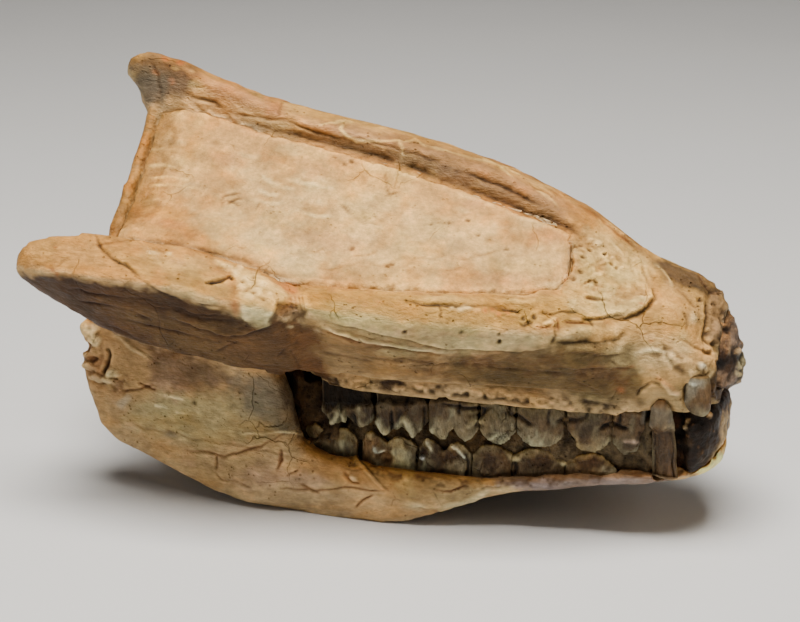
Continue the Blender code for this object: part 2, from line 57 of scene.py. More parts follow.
# A point is seen if it faces the camera by this much and nothing within reach hides it
SEEN_FACING = 0.03
TURNED_FACING = -0.35
RAY_START, RAY_REACH = 0.5, 90.0

# How strokes wander, in pixels: frayed edges everywhere, and a shift and drift on the left side
FRAY, RAGGED = 2.4, 0.45
LEFT_SHIFT, LEFT_DRIFT, LEFT_SHARE = np.array([7.0, -3.0]), 16, 0.75

# The photograph's view
AZIMUTH, ELEVATION = math.radians(20), math.radians(20)
TARGET = np.array([-2.63, 0.0, 54.57])
DISTANCE = 560.0
LENS, SENSOR = 85.0, 36.0
WIDE, HIGH = 800, 622
FOCAL_PX = LENS / SENSOR * WIDE
SIDEWAYS = np.array([math.cos(AZIMUTH), math.sin(AZIMUTH), 0.0])
LOOK = np.array([-math.sin(AZIMUTH) * math.cos(ELEVATION),
                 math.cos(AZIMUTH) * math.cos(ELEVATION), -math.sin(ELEVATION)])
UPWARDS = np.cross(SIDEWAYS, LOOK)
CAMERA = TARGET - LOOK * DISTANCE


def linear(rgb):
    """A screen colour, 0 to 255, as the light that it stands for, stained as old bone is."""
    value = np.array(rgb, float) / 255
    return ((value + 0.055) / 1.055) ** 2.4 * (0.98, 0.80, 0.58)


# Colours that the drawing uses, as they look on a screen
BUFF = linear((196, 160, 116))
GOLD_TAN = linear((204, 164, 112))
CREAM = linear((232, 212, 168))
PALE = linear((222, 190, 150))
YELLOW_CREAM = linear((216, 194, 138))
KHAKI = linear((196, 176, 128))
ROSE = linear((190, 150, 128))
MAUVE = linear((168, 140, 122))
RUST = linear((178, 112, 70))
BROWN = linear((134, 100, 68))
DARK_BROWN = linear((78, 54, 34))
CRACK = linear((62, 42, 26))
OLIVE = linear((150, 126, 82))
TAN = linear((186, 148, 100))
GREY = linear((128, 118, 104))
WHITE = linear((232, 220, 196))
# Near black: the dark stone's own colour, and also painted shade in deep recesses
NEAR_BLACK = linear((36, 28, 22))
TOOTH = linear((112, 92, 66))
TOOTH_FACE = linear((92, 66, 42))
TOOTH_RIM = linear((176, 158, 122))
BLUE_GREY = linear((150, 148, 142))


def hashed(cell, seed):
    """A value from 0 to 1 for each cell of a grid, always the same for the same seed."""
    x, y, z = (cell[:, i].astype(np.uint32) for i in range(3))
    mixed = x * np.uint32(0x9E3779B1) ^ y * np.uint32(0x85EBCA77)
    mixed ^= z * np.uint32(0xC2B2AE3D) ^ np.uint32(seed * 0x27D4EB2F & 0xFFFFFFFF)
    mixed ^= mixed >> np.uint32(15)
    mixed *= np.uint32(0x2C1B3C6D)
    mixed ^= mixed >> np.uint32(12)
    mixed *= np.uint32(0x297A2D39)
    mixed ^= mixed >> np.uint32(15)
    return mixed / 4294967296.0


def noise(points, size, seed=0, stretch=(1, 1, 1)):
    """Smooth lumps from -1 to 1, each about size mm wide, drawn out along an axis by stretch."""
    place = points / (size * np.array(stretch, float)) + 1000.0
    cell = np.floor(place).astype(np.int64)
    inside = place - cell
    ease = inside * inside * (3 - 2 * inside)
    total = np.zeros(len(points))
    for corner in range(8):
        step = np.array([corner & 1, corner >> 1 & 1, corner >> 2 & 1])
        share = np.prod(np.where(step, ease, 1 - ease), axis=1)
        total += share * hashed(cell + step, seed)
    return total * 2 - 1


def rough(points, size, octaves=3, seed=0, stretch=(1, 1, 1)):
    """Noise with finer and finer lumps added, each half as wide and half as strong."""
    total = np.zeros(len(points))
    for octave in range(octaves):
        total += noise(points, size / 2 ** octave, seed + octave, stretch) / 2 ** octave
    return total / 1.5


def smoothstep(low, high, value):
    """Eases from 0 at low to 1 at high."""
    t = np.clip((value - low) / (high - low), 0, 1)
    return t * t * (3 - 2 * t)


def view_plane(a, b, kept):
    """The plane through the camera and two places in the photograph, facing away from kept."""
    rays = [LOOK * FOCAL_PX + SIDEWAYS * (x - WIDE / 2) - UPWARDS * (y - HIGH / 2)
            for x, y in (a, b, kept)]
    facing = np.cross(rays[0], rays[1])
    facing /= np.linalg.norm(facing)
    return CAMERA, -facing * np.sign(facing @ rays[2])


def to_photo(points):
    """Where points show in the photograph's view, in its pixels."""
    away = points - CAMERA
    scale = FOCAL_PX / (away @ LOOK)
    return np.stack([WIDE / 2 + (away @ SIDEWAYS) * scale, HIGH / 2 - (away @ UPWARDS) * scale], 1)


def neighbour_count(edges, size):
    return np.bincount(edges.ravel(), minlength=size).clip(1)


def neighbour_sum(values, edges):
    """For each point, the sum of one value over its neighbours."""
    one, two = edges.T
    return np.bincount(one, values[two], len(values)) + np.bincount(two, values[one], len(values))


def neighbour_mean_place(points, edges):
    """For each point, the middle of its neighbours."""
    total = np.stack([neighbour_sum(points[:, axis], edges) for axis in range(3)], 1)
    return total / neighbour_count(edges, len(points))[:, None]


def relaxed(points, edges, rounds):
    """Evens a mesh out; every other round pushes back so that it doesn't shrink."""
    for turn in range(rounds):
        factor = SWELL if turn % 2 else SHRINK
        points = points + factor * (neighbour_mean_place(points, edges) - points)
    return points


def faded_ends(along, slope, least=0.0):
    """1 along a stroke's middle, falling to least at its two ends."""
    return np.clip(np.minimum(along, 1 - along) * slope + least, 0, 1)


def add_cut(shape, name, place, facing):
    """Adds the part of a node that lies behind a plane, closed where it is cut."""
    part = bmesh.new()
    part.from_mesh(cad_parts[name].data)
    bmesh.ops.remove_doubles(part, verts=part.verts, dist=WELD)
    geometry = part.verts[:] + part.edges[:] + part.faces[:]
    cut = bmesh.ops.bisect_plane(part, geom=geometry, plane_co=place, plane_no=facing,
                                 clear_outer=True)
    edges = [item for item in cut["geom_cut"] if isinstance(item, bmesh.types.BMEdge)]
    bmesh.ops.holes_fill(part, edges=edges, sides=0)
    kept = bpy.data.meshes.new("cut")
    part.to_mesh(kept)
    part.free()
    shape.from_mesh(kept)
    bpy.data.meshes.remove(kept)


# Where bone laps over the edge of the temple stone: two places on the edge, one on the bone
BONE_OVER_STONE = [((340, 288), (560, 293), (450, 320)), ((583, 236), (567, 290), (600, 270)),
                   ((152, 110), (114, 236), (110, 160)), ((186, 112), (576, 246), (400, 120))]


class Piece:
    """One visible piece: its fine mesh, what it shows in the photograph's view, and its paint."""

    def __init__(self, node, voxel, draw, base=BUFF, levels=2):
        self.node = node
        self.planning = False
        self.remesh(voxel)
        self.read(FIRST_ROUNDS)
        for level in range(levels):
            self.start(base)
            if level:
                self.planning = True
                draw(self)
                self.planning = False
                self.subdivide(self.busy & (self.side < 0))
            else:
                self.subdivide(self.seen & ((self.side < 0) | (levels > 1)))
            self.read(LATER_ROUNDS)
        self.start(base)
        draw(self)
        self.spread()

    def remesh(self, voxel):
        """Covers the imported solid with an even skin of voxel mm."""
        node = self.node
        shape = bmesh.new()
        shape.from_mesh(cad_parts[node].data)
        bmesh.ops.remove_doubles(shape, verts=shape.verts, dist=WELD)
        if node == "cranium":
            for side, name in ((1, "right_temple_matrix"), (-1, "left_temple_matrix")):
                for cut in BONE_OVER_STONE:
                    add_cut(shape, name, *(v * (MM if k == 0 else 1) * (1, side, 1)
                                           for k, v in enumerate(view_plane(*cut))))
        mesh = bpy.data.meshes.new(f"{node}_fine")
        shape.to_mesh(mesh)
        shape.free()
        self.obj = bpy.data.objects.new(f"{node}_fossil", mesh)
        bpy.context.scene.collection.objects.link(self.obj)
        skin = self.obj.modifiers.new("skin", "REMESH")
        skin.mode = "VOXEL"
        skin.voxel_size = voxel * MM
        bpy.context.view_layer.update()
        graph = bpy.context.evaluated_depsgraph_get()
        remeshed = bpy.data.meshes.new_from_object(self.obj.evaluated_get(graph))
        self.obj.modifiers.clear()
        self.obj.data = remeshed
        bpy.data.meshes.remove(mesh)

    def start(self, base):
        """Looks at the mesh anew and begins with plain paint and no height."""
        self.look()
        self.busy = np.zeros(len(self.points), bool)
        self.lift = np.zeros(len(self.points))
        self.paint = np.tile(base, (len(self.points), 1))
        self.gloss = np.full(len(self.points), 0.5)

    def spread(self):
        """Carries paint and height on past the outline, fading, over what the view can't see."""
        hidden = ~self.seen
        count = neighbour_count(self.edges, len(self.points))

        def carried(value):
            now = value.copy()
            for _ in range(SPREAD_ROUNDS):
                mean = neighbour_sum(now, self.edges) / count
                now = np.where(hidden, mean * CARRIED + value * HELD, now)
            return now

        for column in range(3):
            self.paint[:, column] = carried(self.paint[:, column])
        self.lift = carried(self.lift)

    def read(self, rounds):
        mesh = self.obj.data
        self.points = np.empty(len(mesh.vertices) * 3)
        mesh.vertices.foreach_get("co", self.points)
        self.points = self.points.reshape(-1, 3) / MM
        edges = np.empty(len(mesh.edges) * 2, np.int32)
        mesh.edges.foreach_get("vertices", edges)
        self.edges = edges.reshape(-1, 2)
        self.points = relaxed(self.points, self.edges, rounds)
        self.write()

    def write(self):
        mesh = self.obj.data
        mesh.vertices.foreach_set("co", (self.points * MM).ravel())
        mesh.update()
        self.normals = np.empty(len(mesh.vertices) * 3)
        mesh.vertices.foreach_get("normal", self.normals)
        self.normals = self.normals.reshape(-1, 3)

    def look(self):
        """Finds which points the photograph's view sees, and where. Left points look mirrored."""
        self.side = np.where(self.points[:, 1] > 0, 1, -1)
        turned = self.points.copy()
        turned[:, 1] = -np.abs(turned[:, 1])
        facing = self.normals.copy()
        facing[:, 1] *= -self.side
        toward = CAMERA - turned
        toward /= np.linalg.norm(toward, axis=1)[:, None]
        self.facing = (facing * toward).sum(1)
        self.seen = self.facing > SEEN_FACING
        mesh = self.obj.data
        mesh.calc_loop_triangles()
        faces = [tuple(t.vertices) for t in mesh.loop_triangles]
        tree = BVHTree.FromPolygons([Vector(p) for p in self.points], faces)
        ray = toward.copy()
        ray[:, 1] *= -self.side
        start = self.points + self.normals * RAY_START + ray * RAY_START
        for i in np.flatnonzero(self.seen):
            if tree.ray_cast(Vector(start[i]), Vector(ray[i]), RAY_REACH)[0] is not None:
                self.seen[i] = False
        shift = smoothstep(4, 16, self.points[:, 1])[:, None]
        wander = np.stack([noise(self.points, 26, 71), noise(self.points, 22, 72)], 1)
        self.photo = to_photo(turned) + shift * (wander * LEFT_DRIFT + LEFT_SHIFT)
        fray = np.stack([rough(self.points, 5.0, 3, 73), rough(self.points, 5.0, 3, 76)], 1)
        self.frayed = self.photo + fray * FRAY
        self.ragged = rough(self.points, 2.6, 3, 79)
        self.broken = (0.78 + 0.75 * noise(self.points, 6, 83)).clip(0.1, 1.25)
        self.share = np.where(self.seen, np.where(self.side < 0, 1.0, LEFT_SHARE), 0.0)

    def subdivide(self, wanted):
        """Halves the edges of each face that has two or more wanted points."""
        shape = bmesh.new()
        shape.from_mesh(self.obj.data)
        shape.verts.ensure_lookup_table()
        edges = {edge for face in shape.faces
                 if sum(wanted[v.index] for v in face.verts) > 1 for edge in face.edges}
        bmesh.ops.subdivide_edges(shape, edges=list(edges), cuts=1, use_grid_fill=True)
        shape.to_mesh(self.obj.data)
        shape.free()

    def around(self, path, margin):
        """The seen points in the upright box round a path, with a margin in pixels."""
        low, high = path.min(0) - margin, path.max(0) + margin
        return np.flatnonzero(self.seen & (self.frayed > low).all(1) & (self.frayed < high).all(1))

    def reach(self, path, width):
        """Points within width px of a stroke: numbers, distances, left/right side, way along."""
        path = np.array(path, float)
        near = self.around(path, width)
        found = self.frayed[near]
        best = np.full(len(near), 1e9)
        across = np.zeros(len(near))
        along = np.zeros(len(near))
        for k, (a, b) in enumerate(zip(path, path[1:])):
            run = b - a
            t = np.clip(((found - a) @ run) / (run @ run), 0, 1)
            gap = found - (a + t[:, None] * run)
            far = np.linalg.norm(gap, axis=1)
            closer = far < best
            best[closer] = far[closer]
            across[closer] = (run[0] * gap[:, 1] - run[1] * gap[:, 0])[closer]
            along[closer] = (k + t)[closer]
        best *= 1 - RAGGED * min(1, 3 / width) * self.ragged[near]
        hit = best < width
        if self.planning:
            self.busy[near[hit]] = True
            hit[:] = False
        return near[hit], best[hit], np.sign(across[hit]), along[hit] / max(1, len(path) - 1)

    def tint(self, index, colour, amount):
        """Moves the paint of some points towards a colour."""
        amount = np.clip(amount * self.share[index], 0, 1)[:, None]
        self.paint[index] += (colour - self.paint[index]) * amount

    def work(self, index, height, colour, amount, fall):
        """Raises some points and, with a colour, tints them, by fall."""
        self.lift[index] += height * fall * self.share[index]
        if colour is not None:
            self.tint(index, colour, amount * fall)

    def field(self, outline, colour, amount=0.7, soft=6.0, lift=0.0, inset=0.0):
        """Tints and lifts an area inside a closed outline, softly over soft px at its edge."""
        outline = np.array(outline, float)
        near = self.around(outline, soft + max(0, -inset))
        found = self.frayed[near]
        inside = np.zeros(len(near), bool)
        far = np.full(len(near), 1e9)
        for a, b in zip(outline, np.roll(outline, -1, 0)):
            run = b - a
            t = np.clip(((found - a) @ run) / max(run @ run, 1e-9), 0, 1)
            far = np.minimum(far, np.linalg.norm(found - a - t[:, None] * run, axis=1))
            spans = (a[1] > found[:, 1]) != (b[1] > found[:, 1])
            cross = a[0] + (found[:, 1] - a[1]) / (run[1] if run[1] else 1e-9) * run[0]
            inside ^= spans & (found[:, 0] < cross)
        within = np.where(inside, far, -far) - inset
        fall = smoothstep(-soft, soft, within + soft * self.ragged[near])
        self.work(near, lift, colour, amount, fall)

    def groove(self, path, width, depth, colour=CRACK, amount=0.85):
        """Cuts a sharp, broken line."""
        index, far, _, along = self.reach(path, width)
        fall = (1 - far / width) ** 1.3 * faded_ends(along, 6, 0.25) * self.broken[index]
        self.work(index, -depth, colour, amount, fall)

    def ridge(self, path, width, height, colour=None, amount=0.6):
        """Raises a soft, broken line."""
        index, far, _, along = self.reach(path, width)
        fall = smoothstep(1, 0, far / width) * faded_ends(along, 6, 0.2) * self.broken[index]
        self.work(index, height, colour, amount, fall)

    def ledge(self, path, run, height, shade=CRACK, amount=0.8, edge=2.5):
        """Lifts what lies to the left of a stroke, fading over run px, with painted shade along its foot.
        """
        index, far, hand, along = self.reach(path, run)
        ends = faded_ends(along, 5)
        step = smoothstep(1.4, -1.4, hand * far)
        up = step * (1 - far / run) * ends
        self.work(index, height, None, 0, up)
        foot = (1 - step) * np.clip(1 - far / edge, 0, 1) * ends
        self.work(index, -0.5 * height, shade, amount, foot)

    def rubble(self, path, width, height, colour, amount):
        """Broken lumps along a stroke, with colour in the hollows between them."""
        index, far, _, _ = self.reach(path, width)
        fall = smoothstep(1, 0.3, far / width)
        lump = rough(self.points[index], 3.4, 3, 85)
        self.lift[index] += height * lump * fall * self.share[index]
        self.tint(index, colour, amount * fall * smoothstep(0.15, -0.35, lump))

    def shade_edge(self, path, width, colour, amount):
        """Paints shade on what turns away from the view beside a stroke."""
        seen = self.seen
        self.seen = ~seen & (self.facing > TURNED_FACING)
        index, _, _, _ = self.reach(path, width)
        self.seen = seen
        self.paint[index] += (colour - self.paint[index]) * amount

    def dab(self, x, y, wide, high, colour, amount=0.7, turn=0, lift=0.0):
        """A soft-edged spot of colour, and of height, turned by degrees."""
        angle = math.radians(turn)
        gap = self.frayed - np.array([x, y])
        u = (gap[:, 0] * math.cos(angle) + gap[:, 1] * math.sin(angle)) / wide
        v = (-gap[:, 0] * math.sin(angle) + gap[:, 1] * math.cos(angle)) / high
        far = np.hypot(u, v) * (1 + RAGGED * self.ragged)
        index = np.flatnonzero(self.seen & (far < 1))
        fall = smoothstep(1, 0.25, far[index])
        self.work(index, lift, colour, amount, fall)

    def dabs(self, places, *spot):
        for x, y in places:
            self.dab(x, y, *spot)

    def grooves(self, paths, *cut):
        for path in paths:
            self.groove(path, *cut)

    def ridges(self, paths, *rise):
        for path in paths:
            self.ridge(path, *rise)

    def darken_below(self, colour, amount):
        """Darkens what faces down, out of the photograph's sight, towards a colour, and returns how far
        it does.
        """
        below = smoothstep(0.15, 0.8, -self.normals[:, 2]) * ~self.seen
        self.paint += (colour - self.paint) * (below * amount)[:, None]
        return below

    def blotch(self, colour, size, level, amount, seed, stretch=(1, 1, 1), lift=0.0):
        """Patches of colour where lumpy noise rises over level, all over the piece."""
        mask = smoothstep(level, level + 0.3, rough(self.points, size, 3, seed, stretch))
        self.paint += (colour - self.paint) * (mask * amount)[:, None]
        self.lift += mask * lift

    def paint_light_and_shade(self):
        """Painted light and shade: what faces up is tinted warmer as if lit, what faces down greyer as if
        shaded, and what stands proud is lighter, hollows darker.
        """
        # Painted light on what faces up, painted shade on what faces down
        up = smoothstep(-0.15, 0.75, self.normals[:, 2])[:, None]
        pale = smoothstep(0.02, 0.12, self.paint[:, 1])[:, None]
        side = (1.0, 1.0, 1.0) + pale * (0.10, 0.42, 0.85)
        self.paint *= (1 - up) * side + up * (0.86, 0.79, 0.54)
        count = neighbour_count(self.edges, len(self.points))
        mean = self.lift.copy()
        for _ in range(6):
            mean = neighbour_sum(mean, self.edges) / count
        # Painted shade in hollows and painted light on what stands proud
        cavity_shade = np.clip((self.lift - mean) * 2.2, -0.6, 0.35)[:, None]
        self.paint *= 1 + cavity_shade * (1.0, 1.05, 1.15)

    def settle(self, limit=0.45):
        """Draws in single points that stand out from all their neighbours."""
        for _ in range(8):
            gap = neighbour_mean_place(self.points, self.edges) - self.points
            far = np.linalg.norm(gap, axis=1)[:, None]
            self.points = self.points + gap * smoothstep(limit, limit * 2, far)

    def finish(self, material):
        """Writes the sculpted mesh with its paint and hands the piece to the frame."""
        self.paint_light_and_shade()
        self.points = self.points + self.normals * self.lift[:, None]
        self.settle()
        self.points[:, 2] = self.points[:, 2].clip(0)
        self.write()
        mesh = self.obj.data
        mesh.polygons.foreach_set("use_smooth", np.ones(len(mesh.polygons), bool))
        colour = mesh.color_attributes.new("paint", "FLOAT_COLOR", "POINT")
        colour.data.foreach_set("color", np.hstack([self.paint.clip(0, 1),
                                                    np.ones((len(self.points), 1))]).ravel())
        gloss = mesh.attributes.new("gloss", "FLOAT", "POINT")
        gloss.data.foreach_set("value", self.gloss.clip(0.05, 1))
        mesh.materials.clear()
        mesh.materials.append(material)
        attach(self.obj, "root")
        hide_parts(self.node)
        return self.obj


VECTOR = "ShaderNodeVectorMath"


class Nodes:
    """Builds a node material a step at a time."""

    def __init__(self, name):
        self.material = bpy.data.materials.new(name)
        self.material.use_nodes = True
        self.tree = self.material.node_tree
        self.tree.nodes.clear()

    def add(self, kind, inputs=(), **settings):
        node = self.tree.nodes.new(kind)
        for key, value in settings.items():
            setattr(node, key, value)
        for key, value in dict(inputs).items():
            if hasattr(value, "is_output"):
                self.tree.links.new(value, node.inputs[key])
            else:
                node.inputs[key].default_value = value
        return node

    def maths(self, a, b, operation="ADD", kind="ShaderNodeMath"):
        """Two values joined by one operation."""
        return self.add(kind, {0: a, 1: b}, operation=operation).outputs[0]

    def ramp(self, value, stops):
        """A grey ramp through places and levels."""
        node = self.add("ShaderNodeValToRGB", {"Fac": value})
        ramp = node.color_ramp
        while len(ramp.elements) < len(stops):
            ramp.elements.new(0.5)
        for element, (place, level) in zip(ramp.elements, stops):
            element.position = place
            element.color = (level, level, level, 1)
        return node.outputs["Color"]

    def mixed(self, share, a, b, blend="MIX"):
        """Two colours mixed by share."""
        return self.add("ShaderNodeMix", {0: share, 6: a, 7: b}, data_type="RGBA",
                        blend_type=blend).outputs[2]

    def toned(self, share, colour, factor):
        """A colour multiplied by a factor, where share says."""
        return self.mixed(share, colour, self.mixed(1.0, colour, (*factor, 1), "MULTIPLY"))


def fossil(name, speck, crack, pores, bump, shine, grain=(1.0, 1.0, 1.0)):
    """Old mineralised bone or stone: painted colour, mottling, hair cracks, pores and grain."""
    n = Nodes(name)
    place = n.add("ShaderNodeTexCoord").outputs["Object"]
    drawn = n.maths(place, grain, "MULTIPLY", VECTOR)
    paint = n.add("ShaderNodeAttribute", attribute_name="paint").outputs["Color"]
    gloss = n.add("ShaderNodeAttribute", attribute_name="gloss").outputs["Fac"]

    moved = n.maths(place, (0.31, 0.17, 0.05), "ADD", VECTOR)

    def cloud(scale, detail, vector=place, roughness=0.6):
        return n.add("ShaderNodeTexNoise", {"Vector": vector, "Scale": scale, "Detail": detail,
                                            "Roughness": roughness}).outputs["Fac"]

    wide = n.ramp(cloud(70, 4, place, 0.68), [(0.30, 0.66), (0.68, 1.24)])
    middle = n.ramp(cloud(210, 5, drawn, 0.72), [(0.28, 0.74), (0.70, 1.20)])
    fine = n.ramp(cloud(760, 3, drawn, 0.7), [(0.28, 1 - speck * 1.4), (0.72, 1 + speck)])
    colour = n.mixed(1.0, paint, wide, "MULTIPLY")
    colour = n.mixed(1.0, colour, middle, "MULTIPLY")
    colour = n.mixed(1.0, colour, fine, "MULTIPLY")
    warm = n.ramp(cloud(110, 3, drawn), [(0.46, 0.0), (0.70, 1.0)])
    colour = n.toned(warm, colour, (1.02, 0.86, 0.64))
    cool = n.ramp(cloud(95, 3, moved), [(0.50, 0.0), (0.72, 1.0)])
    colour = n.toned(cool, colour, (0.86, 0.90, 0.86))
    swirl = n.add("ShaderNodeTexNoise", {"Vector": place, "Scale": 240, "Detail": 2.0})
    twist = n.maths(swirl.outputs["Color"], (0.0035,) * 3, "MULTIPLY", VECTOR)
    bent = n.maths(place, twist, "ADD", VECTOR)
    line = n.add("ShaderNodeTexVoronoi", {"Vector": bent, "Scale": 72}, feature="DISTANCE_TO_EDGE")
    hair = n.ramp(line.outputs["Distance"], [(0.0, 1.0), (0.014, 0.0)])
    some = n.ramp(cloud(48, 2), [(0.55, 0.0), (0.66, 1.0)])
    split = n.mixed(1.0, hair, some, "MULTIPLY")
    share = n.mixed(1.0, split, (crack, crack, crack, 1), "MULTIPLY")
    colour = n.toned(share, colour, (0.36, 0.27, 0.20))
    holes = n.add("ShaderNodeTexVoronoi", {"Vector": place, "Scale": 560})
    hole = n.ramp(holes.outputs["Distance"], [(0.10, 1.0), (0.24, 0.0)])
    where = n.ramp(cloud(160, 3), [(0.50, 0.0), (0.64, 1.0)])
    hole = n.mixed(1.0, hole, where, "MULTIPLY")
    share = n.mixed(1.0, hole, (pores, pores, pores, 1), "MULTIPLY")
    colour = n.toned(share, colour, (0.42, 0.34, 0.28))
    dust = n.ramp(cloud(1500, 2), [(0.64, 0.0), (0.80, 0.55)])
    colour = n.toned(dust, colour, (1.35, 1.32, 1.25))

    height = n.maths(cloud(900, 4, drawn, 0.7), cloud(260, 4, drawn, 0.66))
    height = n.maths(n.maths(height, split, "SUBTRACT"), hole, "SUBTRACT")
    relief = n.add("ShaderNodeBump", {"Height": height, "Strength": bump, "Distance": 0.0010})
    haze = n.add("ShaderNodeMapRange", {"Value": cloud(320, 2), "From Min": 0.3, "From Max": 0.7,
                                        "To Min": -0.08, "To Max": 0.10}).outputs["Result"]
    rough_value = n.maths(gloss, haze)
    shader = n.add("ShaderNodeBsdfPrincipled", {"Base Color": colour, "Roughness": rough_value,
                                                "Normal": relief.outputs["Normal"],
                                                "Specular IOR Level": shine})
    n.add("ShaderNodeOutputMaterial", {"Surface": shader.outputs["BSDF"]})
    return n.material


BONE_LOOK = fossil("fossil_bone_look", 0.19, 0.45, 0.6, 0.8, 0.17, (0.45, 1.0, 1.0))
STONE_LOOK = fossil("temple_stone_look", 0.17, 0.4, 0.35, 0.6, 0.2)
MATRIX_LOOK = fossil("dark_stone_look", 0.42, 0.4, 0.8, 1.0, 0.22)
TOOTH_LOOK = fossil("tooth_look", 0.30, 0.5, 0.35, 0.9, 0.28, (1.0, 1.0, 0.5))


# Strokes shared by the pieces that meet along them
CREST_GROOVE = [(190, 94), (220, 108), (240, 119), (270, 128), (300, 137), (340, 146), (400, 163),
                (450, 181), (500, 199), (540, 215), (572, 229), (583, 236)]
STONE_FOOT = [(582, 238), (574, 250), (572, 268), (567, 282), (556, 292), (520, 295), (440, 294),
              (400, 291), (340, 287), (302, 284), (270, 272), (240, 260), (205, 251), (150, 241)]
STONE_EDGE = [(109, 238), (114, 196), (126, 150), (148, 110), (190, 98), (220, 112), (270, 132),
              (340, 150), (400, 167), (450, 185), (500, 203), (540, 219), (572, 233), (575, 250),
              (573, 268), (568, 282), (556, 291), (520, 294), (440, 293), (400, 290), (340, 287),
              (302, 284), (270, 290), (200, 290), (100, 260)]


def draw_seams(p):
    """The groove under the crest, partly the bone's dark brown and partly painted shade from the
    overhanging crest, and the foot of the smooth stone.
    """
    # Painted shade in the groove under the overhanging crest
    p.groove(CREST_GROOVE, 9.5, 1.0, BROWN * (0.85, 0.95, 1.2), 0.55)
    p.groove(CREST_GROOVE[5:], 5, 0.35, BROWN * 0.5, 0.4)
    p.ledge(STONE_FOOT[:9], 26, 0.9, OLIVE, 0.35, 2.5)
    p.ridge(STONE_FOOT[8:], 9, 0.0, TAN * (0.82, 0.79, 0.75), 0.85)
    p.groove(STONE_FOOT[8:], 3, 0.3, BROWN, 0.4)


def draw_front_arch(p):
    """The arch under the eye: its pale upper facet, splits and rubble."""
    p.field([(300, 288), (340, 290), (440, 297), (555, 297), (575, 286), (582, 260), (640, 262),
             (650, 300), (600, 320), (470, 334), (340, 326), (296, 306)],
            YELLOW_CREAM * (0.9, 0.85, 0.66), 0.6, 5)
    p.field([(300, 306), (340, 326), (400, 334), (480, 335), (560, 330), (560, 345), (470, 352),
             (380, 340), (320, 322)], KHAKI, 0.55, 6)
    p.ridge([(412, 299), (450, 301), (500, 303), (545, 302)], 5, 0.55, CREAM, 0.5)
    p.groove([(405, 301), (430, 305), (455, 307), (490, 308), (520, 311)], 2.8, 0.55, CRACK, 0.75)
    p.groove([(438, 306), (441, 312), (440, 318)], 2.4, 0.4, BROWN, 0.7)
    p.dab(464, 309, 12, 4, WHITE, 0.75, 5, 0.35)
    p.dab(452, 308, 5, 3, WHITE, 0.6, 0, 0.3)
    p.dab(476, 312, 6, 3, PALE, 0.6, 0, 0.3)
    p.dabs(((484, 312), (492, 311), (499, 314), (507, 313)), 4.5, 3, RUST, 0.6, 20, 0.25)
    p.groove([(488, 310), (500, 311), (513, 311), (520, 314)], 2.5, 0.5, CRACK, 0.7)
    p.dabs(((523, 318), (530, 322), (525, 326), (534, 316)), 4, 3.5, CRACK, 0.7, 30, -0.5)
    p.groove([(540, 312), (552, 314), (566, 312), (580, 311)], 2.6, 0.6, CRACK, 0.8)
    p.dab(551, 321, 10, 5, CREAM, 0.8, -15, 0.7)
    p.dab(537, 326, 6, 4, PALE, 0.6, 0, 0.4)
    p.groove([(536, 327), (546, 326), (556, 319), (558, 332)], 2.3, 0.45, RUST, 0.75)
    p.groove([(553, 322), (555, 335), (552, 345)], 2.3, 0.4, BROWN, 0.6)
    p.dabs(((405, 332), (460, 331), (492, 331), (498, 334), (500, 341)), 2.8, 2.4, NEAR_BLACK, 0.85, 0, -0.4)
    p.dabs(((365, 303), (380, 302), (376, 306), (350, 300)), 8, 3, TAN, 0.6, 10, 0.12)
    p.dab(345, 305, 26, 7, WHITE, 0.25, 5)
    p.dab(480, 330, 40, 6, KHAKI, 0.4, 4)


